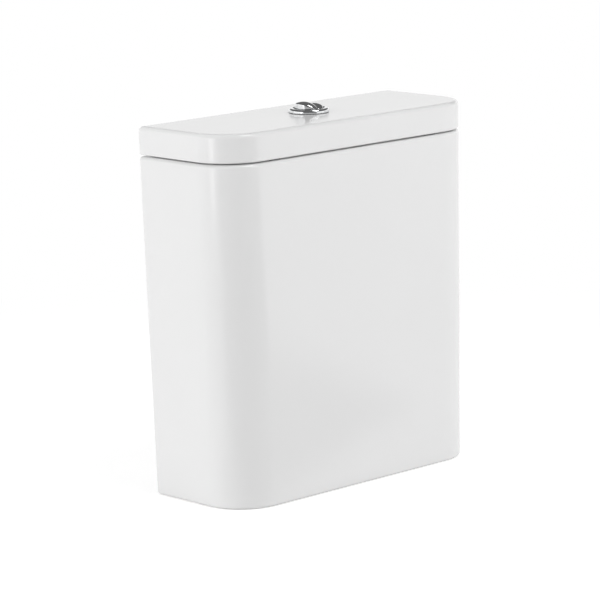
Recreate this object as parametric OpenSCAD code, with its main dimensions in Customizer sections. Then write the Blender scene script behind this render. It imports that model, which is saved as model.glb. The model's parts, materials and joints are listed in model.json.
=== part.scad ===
// Close-coupled toilet cistern: vitreous china tank and lid, dual flush push button,
// push-rod flush valve and bottom-inlet fill valve.
// Millimetres. Origin at the middle of the base, front towards -Y, +Z up.

/* [Tank] */
// Width of the tank across its rim
tank_w = 365; // [350:1:400]
// Depth of the tank at its rim, from the front face to the wall
tank_d = 139; // [134:1:170]
// Height of the tank from its standing foot to its rim
tank_h = 361.5; // [330:0.5:420]
// How far each side leans in from the rim to the base
side_taper = 3.3; // [0:0.1:8]
// How far the back leans forward from the rim to the base
back_rake = 7.3; // [0:0.1:9]
// Radius of the two front corners in plan
front_corner_r = 52.5; // [40:0.5:58]
// Radius of the two back corners in plan
back_corner_r = 5; // [3:0.5:8]
// Thickness of the china wall
tank_wall = 9; // [8:0.5:10]
// Thickness of the china floor
tank_floor = 11; // [9:0.5:13]
// Height of the recess under the floor
foot_h = 32; // [30:1:38]
// Width of the foot around the recess
foot_w = 15; // [13:0.5:17]
// Radius of the outer edge at the base
base_edge_r = 10; // [5:0.5:11]
// Radius of the edges of the rim
rim_edge_r = 2.5; // [1.5:0.1:2.8]

/* [Lid] */
// Height of the lid above the seam
lid_h = 30; // [26:0.5:36]
// Gap that the pads leave between the tank and the lid
seam_gap = 1.5; // [1:0.1:2.5]
// Thickness of the top of the lid
lid_top_t = 9; // [8:0.5:11]
// Radius of the top edge at the front and the sides
lid_edge_r = 10; // [6:0.5:12]
// Radius of the top edge at the back
lid_back_edge_r = 4; // [2:0.5:6]
// Radius of the bottom edge of the lid
lid_lower_edge_r = 4; // [2:0.5:4]
// Depth to which the locating lip drops into the tank
lip_drop = 8; // [5:0.5:11]
// Thickness of the locating lip
lip_t = 5; // [4:0.5:7]

/* [Push button] */
// Diameter of the hole in the lid
button_hole_d = 38.6; // [38:0.1:39.5]
// Outer diameter of the chromed bezel
bezel_d = 43.4; // [42:0.2:48]
// Height of the crest of the bezel above its gasket
bezel_h = 4.2; // [3:0.1:5]
// Diameter of the bezel's threaded shank
shank_d = 36; // [35:0.1:36.6]
// Diameter of the bore in which the two caps slide
cap_bore_d = 31.4; // [31:0.1:32]
// Height of the full flush cap above the lid
full_cap_rise = 12.2; // [10:0.1:13]
// Height of the half flush cap above the lid
half_cap_rise = 9.2; // [8:0.1:11]
// Travel of each cap
button_travel = 8; // [5:0.5:8]
// Diameter of the push rods
push_rod_d = 5; // [4:0.1:5.2]

/* [Flush valve] */
// Bore of the outlet
outlet_bore_d = 50; // [46:0.5:52]
// Wall of the outlet tail, thread included
tail_wall = 4.8; // [4:0.1:5.2]
// Width of the clamping flange outside the socket of the cage
flange_rim = 4.1; // [3:0.1:6]
// Gap between the valve seat and the water cage
cage_gap = 4.4; // [3.5:0.1:5.5]
// Height of the water cage
cage_h = 98; // [80:1:120]
// Gap between the overflow tube and the wall of the outlet
water_way = 9; // [8.5:0.1:11]
// Wall of the overflow tube
overflow_wall = 2; // [1.2:0.1:2.5]
// Length of the lever arm under a push rod
push_arm = 14; // [13:0.5:16]
// Distance of the lift rods outside the water cage
lift_rod_out = 5; // [4.5:0.1:7]
// Height from the lever pins up to the rim of the tank
lever_drop = 43.5; // [40:0.5:55]

/* [Fill valve] */
// Place of the inlet between the fixings and the side wall, as a share
inlet_share = 0.324; // [0.3:0.001:0.37]
// Diameter of the inlet tail over its thread
inlet_tail_d = 16.6; // [16:0.1:17.2]
// Bore of the inlet
inlet_bore_d = 10; // [8:0.1:10.5]
// Outer diameter of the height sleeve
sleeve_d = 25; // [24:0.1:26]
// Outer diameter of the foam float
float_d = 54; // [46:0.5:55]
// Height of the foam float
float_h = 58; // [40:1:66]
// Rise of the foam float
float_travel = 12; // [8:0.5:14]
// Height from the float lever's pin up to the rim of the tank
fill_drop = 58; // [54:0.5:70]

/* [Fixings] */
// Distance between the two fixing bolts
fixing_spacing = 160; // [156:0.5:166]
// Diameter of the fixing bolts
bolt_d = 8; // [7:0.1:8.4]
// Length of the fixing bolts under the head
bolt_l = 45; // [42:0.5:47]
// Diameter of the fixing holes in the tank floor
bolt_hole_d = 13; // [11:0.1:14]

/* [Hidden] */
$fn = 64;

// Shared fits and cuts
overrun = 1;          // how far a cut runs past the face that it opens
fit_gap = 0.05;       // radial gap of a fixed fit
run_gap = 0.05;       // radial gap of a pin in its bore
slide_gap = 0.3;      // gap beside a part that slides or rests
corner_steps = 12;    // facets in a front corner
small_corner_steps = 5;
edge_steps = 6;       // facets in a rounded edge

// Heights that everything hangs on
floor_z = foot_h + tank_floor;
lid_z = tank_h + seam_gap;
top_z = lid_z + lid_h;

// China details
recess_draft = 2;          // how far the recess narrows towards its ceiling
recess_back_corner_r = 6;
floor_cove_r = 9;          // cove between the walls and the floor inside
cavity_back_corner_r = 8;
cavity_corner_narrows = 4; // how much smaller those corners are on the floor
floor_hole_gap = 1.2;      // radial gap of the tails in the floor
lip_gap = 2;               // gap between the lip and the inside of the tank
lid_ceiling_draft = 3;
lid_hollow_corner_r = 5;
sharp_corner_r = 0.6;      // least corner radius left after an edge is rounded
pad_l = 14;
pad_w = 2.4;
pad_x_share = 0.31;        // place of the pads along the width

// Place of the flush valve and of the button above it
valve_y = 3;

// Push button details
gasket_t = 0.6;
gasket_inset = 0.5;        // how far the gasket stays inside the bezel's edge
bezel_edge_h = 1.3;        // upright part of the bezel's outer edge
bezel_crest_r = bezel_d / 2 - 3;
bezel_crest_w = 0.9;       // half width of the rolled crest
bezel_throat = 1.6;        // how far the inner slope falls from the crest
bezel_z = top_z + gasket_t;
shank_drop = 37;           // length of the shank below the top of the lid
web_t = 3;
web_drop = 30;             // underside of the web below the top of the lid
web_z = top_z - web_drop;
rod_x = 9;                 // distance of each push rod from the middle
rod_hole_gap = 0.4;
bezel_nut_t = 8;
bezel_nut_w = 9;           // width of the nut's ring
bezel_nut_lobes = 12;
bezel_nut_lobe_r = 2.2;
cap_gap = 0.3;             // gap round a cap and to the split
cap_split_x = 1.6;         // the split lies this far right of the middle
cap_wall = 2;
cap_skirt_drop = 6;        // lower end of the skirt below the top of the lid
full_dome_x = -8.3;        // each dome is part of a ball that takes in the corners of its cap
full_dome_r = 22;
half_dome_x = 7;
half_dome_r = 17;
boss_bite = 0.5;           // how far the boss of a rod runs into the wall of its cap
boss_d = push_rod_d + 2.4;
spring_wire = 0.9;
spring_r = 4.6;            // mean radius of the coil
spring_turns = 5;
spring_seat_r = 5.4;
spring_seat_t = 1.5;
rod_socket_l = 9;          // length of rod inside the cap's boss
rod_foot_r = 3.6;
rod_foot_h = 3;

// Flush valve details
outlet_tail_d = outlet_bore_d + 2 * tail_wall;
overflow_d = outlet_bore_d - 2 * water_way;
tail_clear = 6;            // free height under the outlet tail
washer_t = 4;
washer_w = 11;
flange_t = 5;
flange_z = floor_z + washer_t;
seat_floor_z = flange_z + flange_t;
seat_h = 8;
seat_z = seat_floor_z + seat_h;
seat_wall = 2.6;
seat_lead_h = 6;           // the bore opens out over this height under the seat
seat_lead = 1.5;
socket_wall = 2.6;
socket_h = 7;
back_nut_t = 10;
back_nut_w = 7.5;
back_nut_lobes = 8;
back_nut_lobe_r = 3.4;
thread_pitch = 2.4;
thread_depth = 0.9;
ridge_share = 1 / 3;       // share of the pitch that each flank and each crest takes
coupling_clear = 1;        // the washer's foot stays this far above the standing plane
coupling_w = 12;
coupling_taper = 4;
cage_wall = 2.5;
cage_d = outlet_bore_d + 2 * (seat_lead + seat_wall + cage_gap + cage_wall);
column_inset = 6;          // axis of each column inside the edge of the cage
column_y = cage_d / 2 - column_inset;
lift_x = cage_d / 2 + lift_rod_out;
valve_flange_d = cage_d + 2 * (slide_gap + socket_wall + flange_rim);
cage_top_t = 3;
cage_z = seat_floor_z;
cage_top_z = cage_z + cage_h;
window_count = 6;
window_w = 22;
window_foot = 12;          // solid band under the windows
window_head_share = 0.36;  // share of the cage's height above the windows
ear_w = 10;
ear_t = 3;
column_d = 9;
column_bore_d = 5;
bridge_t = 4;
bridge_drop = 16;          // underside of the bridge plate below the lever pins
bridge_play = 2.5;         // gap between the bridge plate and the overflow tube
cheek_t = 3;
cheek_gap = 16;            // free width between the cheeks
cheek_rise = 6;            // top of the cheeks above the lever pins
cheek_end = 8;             // cheeks past the lever pins
pin_d = 4;
pin_head_d = 6;
pin_head_t = 1.2;
lever_z = tank_h - lever_drop;
pivot_x = rod_x + push_arm;
lift_arm = lift_x - pivot_x;
lever_w = 13;
lever_t = 3.6;
lever_hub_r = 4.6;
pad_r = 3;
lever_swing = button_travel / push_arm * 180 / PI;
lift_travel = button_travel * lift_arm / push_arm;
fork_slot_w = 5.2;
lift_rod_d = 4;
lift_head_d = 7.4;
lift_head_t = 3;
lift_head_z = lever_z - lift_arm * sin(lever_swing / 2) + pad_r + slide_gap;
push_tip_z = lever_z + push_arm * sin(lever_swing / 2) + pad_r + slide_gap;
overflow_gap = 8;          // gap between the lifted tube and the levers
overflow_top_z = lever_z - push_arm * sin(lever_swing / 2) - pad_r - lift_travel - overflow_gap;
seal_lap = 4;              // width of the seal on the seat
seal_d = outlet_bore_d + 2 * (seat_lead + seal_lap);
seal_t = 3.5;
carrier_inset = 1.5;       // edge of the seal outside its carrier
carrier_d = seal_d - 2 * carrier_inset;
carrier_t = 3.5;
hub_wall = 2;
retainer_w = 3.6;
retainer_t = 2.5;
collar_t = 6;
collar_w = 4.5;
collar_gap = 20;           // collar above the cage
collar_z = cage_top_z + collar_gap;
collar_arm_w = 7;
guide_l = 14;              // length of the full lift rod under its collar arm

// Half flush float details
half_float_w = 22;
half_float_d = 30;
half_float_h = 36;
half_float_drop = 20;      // top of the float below the top of the cage
half_float_edge_r = 3;

// Fixing details
bolt_rubber_t = 5;
bolt_rubber_d = 26;
bolt_washer_t = 1.6;
bolt_washer_d = 20;
bolt_head_t = 5.5;
bolt_head_d = 14;
bolt_slot_w = 2;
bolt_slot_depth = 2.4;
bolt_nut_af = 13;
bolt_nut_t = 5;
bolt_seat_z = floor_z + bolt_rubber_t + bolt_washer_t;
bolt_end_step = 0.3;       // the free end under the nut is this much thinner all round
bolt_end_gap = 1;
bolt_end_z = foot_h - bolt_washer_t - bolt_nut_t - bolt_end_gap;

// Fill valve details
inlet_near = fixing_spacing / 2 + bolt_rubber_d / 2;
inlet_far = tank_w / 2 - side_taper - tank_wall;
inlet_x = inlet_near + (inlet_far - inlet_near) * inlet_share;
inlet_tail_clear = 3;
tail_groove_w = 2;         // groove that ends the free thread under the back nut
tail_groove_depth = 0.8;
fill_washer_t = 4;
fill_washer_w = 6;
fill_flange_w = 7;
fill_flange_t = 4;
fill_nut_af = 27;
fill_nut_t = 8;
riser_wall = 3.5;
riser_d = inlet_bore_d + 2 * riser_wall;
riser_z = floor_z + fill_washer_t + fill_flange_t;
lever_pin_z = tank_h - fill_drop;
cap_drop = 8;              // lever pin above the top of the cap
fill_cap_h = 9;
fill_cap_d = 41;
head_h = 22;
head_d = 38;
fill_cap_z = lever_pin_z - cap_drop - fill_cap_h;
head_z = fill_cap_z - head_h;
head_bore_d = 12;
diaphragm_d = 33;
diaphragm_t = 2;
sleeve_share = 0.3;        // share of the riser's height left bare under the sleeve
sleeve_z = riser_z + (head_z - riser_z) * sleeve_share;
riser_gap = 0.3;
lock_ring_h = 13;
lock_ring_w = 4.5;
lock_ring_ribs = 20;
lock_rib_r = 1.1;
float_gap = 1.4;           // gap between the float and the sleeve
float_head_gap = 6;        // gap between the raised float and the head
float_z = head_z - float_head_gap - float_travel - float_h;
float_edge_r = 3;
float_clip_t = 3;
float_pin_x = 9;           // lever pin on the far side of the riser's axis
link_x = 33;               // link rod on the near side of the riser's axis
float_arm = float_pin_x + link_x;
float_swing = float_travel / float_arm * 180 / PI;
float_pin_d = 3;
float_pin_l = 18;
link_rod_d = 3.6;
link_head_d = 7;
link_head_t = 2.5;
float_lever_w = 8;
float_lever_t = 4;
float_hub_r = 3.4;
ear_gap = 9;               // free width between the ears on the cap
cap_ear_t = 2.5;
cap_ear_r = 4;
pilot_d = 5;
pilot_clear = 0.6;
link_play = link_head_d / 2 * tan(float_swing / 2) + slide_gap;
float_lever_h = float_lever_t / cos(float_swing / 2);
link_head_z = lever_pin_z - float_arm * sin(float_swing / 2) + float_lever_h / 2 + link_play;
silencer_d = 11;
silencer_wall = 1.5;
silencer_y = 36;
silencer_foot_gap = 14;    // lower end of the tube above the tank floor
filter_wall = 0.8;
filter_gap = 0.1;
filter_l = 18;

// One corner or end of an outline, as points on an arc
function arc(cx, cy, r, a0, a1, steps) =
    [for (i = [0 : steps]) let (a = a0 + (a1 - a0) * i / steps) [cx + r * cos(a), cy + r * sin(a)]];

// The plan outline of the china at height z, drawn in by a at the front and sides and by b at the back
function outline(z, a, b, front_r, back_r) =
    let (half = tank_w / 2 - side_taper * (1 - z / tank_h) - a,
         front = -tank_d / 2 + a,
         back = tank_d / 2 - back_rake * max(0, 1 - z / tank_h) - b,
         plan = concat(
            arc(half - back_r, back - back_r, back_r, 0, 90, small_corner_steps),
            arc(-half + back_r, back - back_r, back_r, 90, 180, small_corner_steps),
            arc(-half + front_r, front + front_r, front_r, 180, 270, corner_steps),
            arc(half - front_r, front + front_r, front_r, 270, 360, corner_steps)))
    [for (p = plan) [p[0], p[1], z]];

function outer(z, a, b) =
    outline(z, a, b, front_corner_r - a, max(back_corner_r - min(a, b), sharp_corner_r));

// How far an upper edge of radius r has drawn in at height z under a top face
function edge_inset(z, r, top) =
    let (up = max(0, z - (top - r))) r - sqrt(max(0, r * r - up * up));

// A solid that runs through closed rings of points, capped on the first and the last
module loft(rings) {
    m = len(rings[0]);
    last = (len(rings) - 1) * m;
    polyhedron(
        points = [for (r = rings) each r],
        faces = concat(
            [[for (i = [0 : m - 1]) i]],
            [for (k = [0 : len(rings) - 2]) for (i = [0 : m - 1])
                [k * m + i, (k + 1) * m + i, (k + 1) * m + (i + 1) % m, k * m + (i + 1) % m]],
            [[for (i = [m - 1 : -1 : 0]) last + i]]));
}

module tube(outer_d, inner_d, h) {
    difference() {
        cylinder(d = outer_d, h = h);
        translate([0, 0, -overrun]) cylinder(d = inner_d, h = h + 2 * overrun);
    }
}

// A tube with a run of thread ridges on its outside
module threaded_tube(outer_d, inner_d, h) {
    turns = floor(h / thread_pitch);
    pitch = h / turns;
    crest = outer_d / 2;
    root = crest - thread_depth;
    ridges = [for (i = [0 : turns - 1]) each [
        [crest, (i + ridge_share) * pitch], [crest, (i + 2 * ridge_share) * pitch], [root, (i + 1) * pitch]]];
    rotate_extrude() polygon(concat([[inner_d / 2, 0], [root, 0]], ridges, [[inner_d / 2, h]]));
}

module at_valve() { translate([0, valve_y, 0]) children(); }

module at_inlet() { translate([inlet_x, 0, 0]) children(); }

module at_fixings() { for (side = [-1, 1]) translate([side * fixing_spacing / 2, valve_y, 0]) children(); }

// China tank: foot with a recess, outer walls, rim, cavity and floor, in one run of rings
module tank() {
    color("white") difference() {
        loft(concat(
            [outline(foot_h, foot_w + recess_draft, foot_w + recess_draft,
                front_corner_r - foot_w - recess_draft, recess_back_corner_r),
             outline(0, foot_w, foot_w, front_corner_r - foot_w, recess_back_corner_r)],
            [for (i = [0 : edge_steps]) let (t = 90 * i / edge_steps, a = base_edge_r * (1 - sin(t)))
                outer(base_edge_r * (1 - cos(t)), a, a)],
            [for (i = [0 : edge_steps]) let (t = 90 * i / edge_steps, a = rim_edge_r * (1 - cos(t)))
                outer(tank_h - rim_edge_r * (1 - sin(t)), a, a)],
            [for (i = [0 : edge_steps])
                let (t = 90 * i / edge_steps, a = tank_wall - rim_edge_r * (1 - sin(t)))
                outline(tank_h - rim_edge_r * (1 - cos(t)), a, a, front_corner_r - a, cavity_back_corner_r)],
            [for (i = [0 : edge_steps])
                let (t = 90 * i / edge_steps, a = tank_wall + floor_cove_r * (1 - cos(t)),
                    back_r = cavity_back_corner_r - cavity_corner_narrows * i / edge_steps)
                outline(floor_z + floor_cove_r * (1 - sin(t)), a, a, front_corner_r - a, back_r)]));
        translate([0, 0, foot_h - overrun]) {
            at_valve() cylinder(d = outlet_tail_d + 2 * floor_hole_gap, h = tank_floor + 2 * overrun);
            at_fixings() cylinder(d = bolt_hole_d, h = tank_floor + 2 * overrun);
            at_inlet() cylinder(d = inlet_tail_d + 2 * floor_hole_gap, h = tank_floor + 2 * overrun);
        }
    }
}

// China lid: hollow underneath, with a lip that drops inside the rim
module lid() {
    lip_z = tank_h - lip_drop;
    lip_in = tank_wall + lip_gap;
    hollow_in = lip_in + lip_t;
    color("white") difference() {
        loft(concat(
            [outline(top_z - lid_top_t, hollow_in + lid_ceiling_draft, hollow_in + lid_ceiling_draft,
                front_corner_r - hollow_in - lid_ceiling_draft, lid_hollow_corner_r),
             outline(lip_z, hollow_in, hollow_in, front_corner_r - hollow_in, lid_hollow_corner_r),
             outline(lip_z, lip_in, lip_in, front_corner_r - lip_in, cavity_back_corner_r),
             outline(lid_z, lip_in, lip_in, front_corner_r - lip_in, cavity_back_corner_r)],
            [for (i = [0 : edge_steps]) let (t = 90 * i / edge_steps, a = lid_lower_edge_r * (1 - sin(t)))
                outer(lid_z + lid_lower_edge_r * (1 - cos(t)), a, a)],
            [for (i = [0 : 2 * edge_steps])
                let (t = 45 * i / edge_steps, z = top_z - lid_edge_r * (1 - sin(t)))
                outer(z, lid_edge_r * (1 - cos(t)), edge_inset(z, lid_back_edge_r, top_z))]));
        translate([0, 0, top_z - lid_top_t - overrun]) at_valve()
            cylinder(d = button_hole_d, h = lid_top_t + 2 * overrun);
    }
}

// Four soft strips on the rim, on which the lid rests
module lid_pads() {
    color("gainsboro")
    for (x = [-1, 1]) for (y = [-1, 1])
        translate([x * tank_w * pad_x_share - pad_l / 2,
            y * (tank_d / 2 - lid_lower_edge_r - pad_w / 2) - pad_w / 2, tank_h])
            cube([pad_l, pad_w, seam_gap]);
}

module button_gasket() {
    color("dimgray") at_valve() translate([0, 0, top_z])
        tube(bezel_d - 2 * gasket_inset, shank_d + 2 * slide_gap, gasket_t);
}

// Chromed bezel: rolled ring, threaded shank and the web that carries the springs
module button_bezel() {
    shank_r = shank_d / 2;
    bore_r = cap_bore_d / 2;
    roll = [for (i = [0 : edge_steps]) let (t = 90 * i / edge_steps)
        [bezel_crest_r + bezel_crest_w + (bezel_d / 2 - bezel_crest_r - bezel_crest_w) * cos(t),
         bezel_edge_h + (bezel_h - bezel_edge_h) * sin(t)]];
    color("silver") at_valve() {
        translate([0, 0, bezel_z]) rotate_extrude() polygon(concat(
            [[bore_r, 0], [bezel_d / 2, 0]], roll,
            [[bezel_crest_r - bezel_crest_w, bezel_h], [bore_r, bezel_h - bezel_throat]]));
        translate([0, 0, top_z - shank_drop])
            threaded_tube(shank_d, cap_bore_d, shank_drop + gasket_t);
        translate([0, 0, web_z]) difference() {
            cylinder(r = (shank_r + bore_r) / 2 - thread_depth / 2, h = web_t);
            for (side = [-1, 1]) translate([side * rod_x, 0, -overrun])
                cylinder(d = push_rod_d + 2 * rod_hole_gap, h = web_t + 2 * overrun);
        }
    }
}

module button_bezel_nut() {
    color("whitesmoke") at_valve() translate([0, 0, top_z - lid_top_t - bezel_nut_t]) difference() {
        union() {
            cylinder(d = shank_d + 2 * bezel_nut_w, h = bezel_nut_t);
            for (i = [0 : bezel_nut_lobes - 1]) rotate([0, 0, 360 * i / bezel_nut_lobes])
                translate([shank_d / 2 + bezel_nut_w, 0, 0]) cylinder(r = bezel_nut_lobe_r, h = bezel_nut_t);
        }
        translate([0, 0, -overrun])
            cylinder(d = shank_d + 2 * fit_gap, h = bezel_nut_t + 2 * overrun);
    }
}

// The space that one cap may fill, drawn in by inset: a disc, a straight split and a dome
module cap_form(x0, x1, dome_x, dome_r, rise, inset, z0) {
    r = cap_bore_d / 2 - cap_gap - inset;
    intersection() {
        translate([0, 0, z0]) cylinder(r = r, h = top_z + rise - z0);
        translate([x0 + inset, -r - overrun, z0 - overrun])
            cube([x1 - x0 - 2 * inset, 2 * (r + overrun), top_z + rise - z0 + 2 * overrun]);
        translate([dome_x, 0, top_z + rise - dome_r]) sphere(r = dome_r - inset);
    }
}

// One cap: domed shell, boss for its rod and seat for its spring
module flush_cap(x0, x1, dome_x, dome_r, rise, rod_at) {
    skirt_z = top_z - cap_skirt_drop;
    difference() {
        union() {
            difference() {
                cap_form(x0, x1, dome_x, dome_r, rise, 0, skirt_z);
                cap_form(x0, x1, dome_x, dome_r, rise, cap_wall, skirt_z - overrun);
            }
            translate([rod_at, 0, skirt_z]) {
                cylinder(r = spring_seat_r, h = spring_seat_t);
                cylinder(d = boss_d, h = cap_skirt_drop + rise - cap_wall + boss_bite);
            }
        }
        translate([rod_at, 0, skirt_z - overrun])
            cylinder(d = push_rod_d + 2 * fit_gap, h = rod_socket_l + overrun);
    }
}

module full_flush_button() {
    edge = -cap_bore_d / 2;
    color("silver") at_valve()
        flush_cap(edge, cap_split_x - cap_gap, full_dome_x, full_dome_r, full_cap_rise, -rod_x);
}

module half_flush_button() {
    edge = cap_bore_d / 2;
    color("silver") at_valve()
        flush_cap(cap_split_x + cap_gap, edge, half_dome_x, half_dome_r, half_cap_rise, rod_x);
}

// A coil spring between the web and a cap's spring seat
module button_spring(side) {
    ring_steps = 10;
    sides = 6;
    wire_r = spring_wire / 2;
    low = web_z + web_t + wire_r;
    high = top_z - cap_skirt_drop - wire_r;
    count = spring_turns * ring_steps;
    color("lightgray") at_valve() translate([side * rod_x, 0, 0]) loft(
        [for (k = [0 : count]) let (turn = 360 * k / ring_steps, z = low + (high - low) * k / count)
            [for (j = [0 : sides - 1]) let (a = 360 * j / sides, r = spring_r + wire_r * sin(a))
                [r * cos(turn), r * sin(turn), z + wire_r * cos(a)]]]);
}

module full_button_spring() { button_spring(-1); }

module half_button_spring() { button_spring(1); }

// A push rod from its cap down to the pad of a lever, with a foot and a collar that stops under the web
module push_rod(side) {
    top = top_z - cap_skirt_drop + rod_socket_l;
    color("white") at_valve() translate([side * rod_x, 0, 0]) {
        translate([0, 0, push_tip_z]) cylinder(d = push_rod_d, h = top - push_tip_z);
        translate([0, 0, push_tip_z]) cylinder(r = rod_foot_r, h = rod_foot_h);
        translate([0, 0, web_z - slide_gap - rod_foot_h]) cylinder(r = rod_foot_r, h = rod_foot_h);
    }
}

module full_push_rod() { push_rod(-1); }

module half_push_rod() { push_rod(1); }

// Outlet: threaded tail, clamping flange, valve seat and the socket for the cage
module flush_valve_base() {
    bore_r = outlet_bore_d / 2;
    thread_l = foot_h - tail_clear;
    color("whitesmoke") at_valve() {
        translate([0, 0, tail_clear]) threaded_tube(outlet_tail_d, outlet_bore_d, thread_l);
        translate([0, 0, foot_h]) tube(outlet_tail_d - 2 * thread_depth, outlet_bore_d, flange_z - foot_h);
        translate([0, 0, flange_z]) tube(valve_flange_d, outlet_bore_d, flange_t);
        translate([0, 0, seat_floor_z]) rotate_extrude() polygon([
            [bore_r, 0], [bore_r + seat_lead + seat_wall, 0], [bore_r + seat_lead + seat_wall, seat_h],
            [bore_r + seat_lead, seat_h], [bore_r, seat_h - seat_lead_h]]);
        translate([0, 0, seat_floor_z])
            tube(cage_d + 2 * (slide_gap + socket_wall), cage_d + 2 * slide_gap, socket_h);
    }
}

module flush_valve_washer() {
    color("black") at_valve() translate([0, 0, floor_z])
        tube(outlet_tail_d + 2 * washer_w, outlet_tail_d + 2 * fit_gap, washer_t);
}

module flush_valve_back_nut() {
    nut_d = outlet_tail_d + 2 * back_nut_w;
    color("white") at_valve() translate([0, 0, foot_h - back_nut_t]) difference() {
        union() {
            cylinder(d = nut_d, h = back_nut_t);
            for (i = [0 : back_nut_lobes - 1]) rotate([0, 0, 360 * i / back_nut_lobes])
                translate([nut_d / 2, 0, 0]) cylinder(r = back_nut_lobe_r, h = back_nut_t);
        }
        translate([0, 0, -overrun]) cylinder(d = outlet_tail_d + 2 * fit_gap, h = back_nut_t + 2 * overrun);
    }
}

// Thick tapered washer that seals the outlet to the pan
module coupling_washer() {
    inner_r = outlet_tail_d / 2 + fit_gap;
    top = foot_h - back_nut_t;
    color("black") at_valve() rotate_extrude() polygon([
        [inner_r, coupling_clear], [inner_r + coupling_w - coupling_taper, coupling_clear],
        [inner_r + coupling_w, (coupling_clear + top) / 2], [inner_r + coupling_w, top], [inner_r, top]]);
}

// Water cage with windows, a top plate and an ear on each side that guides a lift rod
module valve_cage() {
    window_h = cage_h * (1 - window_head_share) - window_foot;
    inner_d = cage_d - 2 * cage_wall;
    color("white") at_valve() translate([0, 0, cage_z]) difference() {
        union() {
            cylinder(d = cage_d, h = cage_h);
            translate([-lift_x, -ear_w / 2, cage_h - ear_t]) cube([2 * lift_x, ear_w, ear_t]);
            for (side = [-1, 1]) translate([side * lift_x, 0, cage_h - ear_t]) cylinder(d = ear_w, h = ear_t);
        }
        translate([0, 0, -overrun]) cylinder(d = inner_d, h = cage_h - cage_top_t + overrun);
        cylinder(d = overflow_d + 2 * bridge_play, h = cage_h + overrun);
        for (i = [0 : window_count - 1]) rotate([0, 0, 360 * (i + 1 / 2) / window_count])
            translate([0, -window_w / 2, window_foot]) cube([cage_d, window_w, window_h]);
        for (side = [-1, 1]) translate([side * lift_x, 0, 0])
            cylinder(d = lift_rod_d + 2 * slide_gap, h = cage_h + overrun);
        for (side = [-1, 1]) translate([0, side * column_y, cage_h - cage_top_t - overrun])
            cylinder(d = column_bore_d, h = cage_top_t + 2 * overrun);
    }
}

// Two posts that carry the lever bridge on the cage
module tower_columns() {
    top = lever_z - bridge_drop;
    peg_d = column_bore_d - 2 * fit_gap;
    color("white") at_valve() for (side = [-1, 1]) translate([0, side * column_y, 0]) {
        translate([0, 0, cage_top_z]) cylinder(d = column_d, h = top - cage_top_z);
        translate([0, 0, cage_top_z - cage_top_t]) cylinder(d = peg_d, h = cage_top_t);
        translate([0, 0, top]) cylinder(d = peg_d, h = bridge_t);
    }
}

// Plate on the posts with the two cheeks that hold the lever pins
module lever_bridge() {
    cheek_l = 2 * (pivot_x + cheek_end);
    cheek_h = bridge_drop + cheek_rise;
    color("white") at_valve() translate([0, 0, lever_z - bridge_drop]) difference() {
        union() {
            hull() {
                for (side = [-1, 1]) translate([0, side * column_y, 0])
                    cylinder(d = 2 * column_d, h = bridge_t);
                translate([-cheek_l / 2, -cheek_gap / 2 - cheek_t, 0])
                    cube([cheek_l, cheek_gap + 2 * cheek_t, bridge_t]);
            }
            for (side = [-1, 1]) translate([-cheek_l / 2, side * (cheek_gap + cheek_t) / 2 - cheek_t / 2, 0])
                cube([cheek_l, cheek_t, cheek_h]);
        }
        translate([0, 0, -overrun]) cylinder(d = overflow_d + 2 * bridge_play, h = bridge_t + 2 * overrun);
        for (side = [-1, 1]) {
            translate([0, side * column_y, -overrun]) cylinder(d = column_bore_d, h = bridge_t + 2 * overrun);
            translate([side * pivot_x, 0, bridge_drop]) rotate([90, 0, 0])
                cylinder(d = pin_d + 2 * fit_gap, h = cheek_gap + 4 * cheek_t, center = true);
        }
        // the cheeks open in the middle, so that the tube and the rods have room
        translate([-overflow_d / 2 - bridge_play, -cheek_gap, bridge_t])
            cube([overflow_d + 2 * bridge_play, 2 * cheek_gap, cheek_h]);
    }
}

module lever_pins() {
    span = cheek_gap + 2 * cheek_t;
    color("silver") at_valve() for (side = [-1, 1])
        translate([side * pivot_x, 0, lever_z]) rotate([90, 0, 0]) {
            cylinder(d = pin_d, h = span + 2 * pin_head_t, center = true);
            translate([0, 0, span / 2]) cylinder(d = pin_head_d, h = pin_head_t);
        }
}

// A rocker: the push rod bears on its pad and its fork raises a lift rod. Drawn for the right-hand side.
module rocker() {
    rotate([0, lever_swing / 2, 0]) difference() {
        union() {
            rotate([90, 0, 0]) cylinder(r = lever_hub_r, h = lever_w, center = true);
            translate([-push_arm, -lever_w / 2, -lever_t / 2]) cube([push_arm + lift_arm, lever_w, lever_t]);
            for (x = [-push_arm, lift_arm]) translate([x, 0, 0])
                rotate([90, 0, 0]) cylinder(r = pad_r, h = lever_w, center = true);
        }
        rotate([90, 0, 0]) cylinder(d = pin_d + 2 * run_gap, h = lever_w + 2 * overrun, center = true);
        translate([lift_arm - fork_slot_w / 2, -fork_slot_w / 2, -lever_w])
            cube([fork_slot_w + pad_r, fork_slot_w, 2 * lever_w]);
    }
}

module half_flush_lever() {
    color("lightgray") at_valve() translate([pivot_x, 0, lever_z]) rocker();
}

module full_flush_lever() {
    color("steelblue") at_valve() translate([-pivot_x, 0, lever_z]) mirror([1, 0, 0]) rocker();
}

// Overflow tube with the carrier of the flush seal at its foot
module overflow_tube() {
    bore_d = overflow_d - 2 * overflow_wall;
    hub_d = overflow_d + 2 * hub_wall;
    color("white") at_valve() difference() {
        union() {
            translate([0, 0, seat_z + seal_t]) {
                cylinder(d = carrier_d, h = carrier_t);
                cylinder(d = overflow_d, h = overflow_top_z - seat_z - seal_t);
            }
            translate([0, 0, seat_z - retainer_t])
                cylinder(d = hub_d, h = seal_t + retainer_t + 2 * carrier_t);
        }
        translate([0, 0, seat_z - retainer_t - overrun])
            cylinder(d = bore_d, h = overflow_top_z - seat_z + retainer_t + 2 * overrun);
    }
}

module flush_seal() {
    color("firebrick") at_valve() translate([0, 0, seat_z])
        tube(seal_d, overflow_d + 2 * (hub_wall + fit_gap), seal_t);
}

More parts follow.
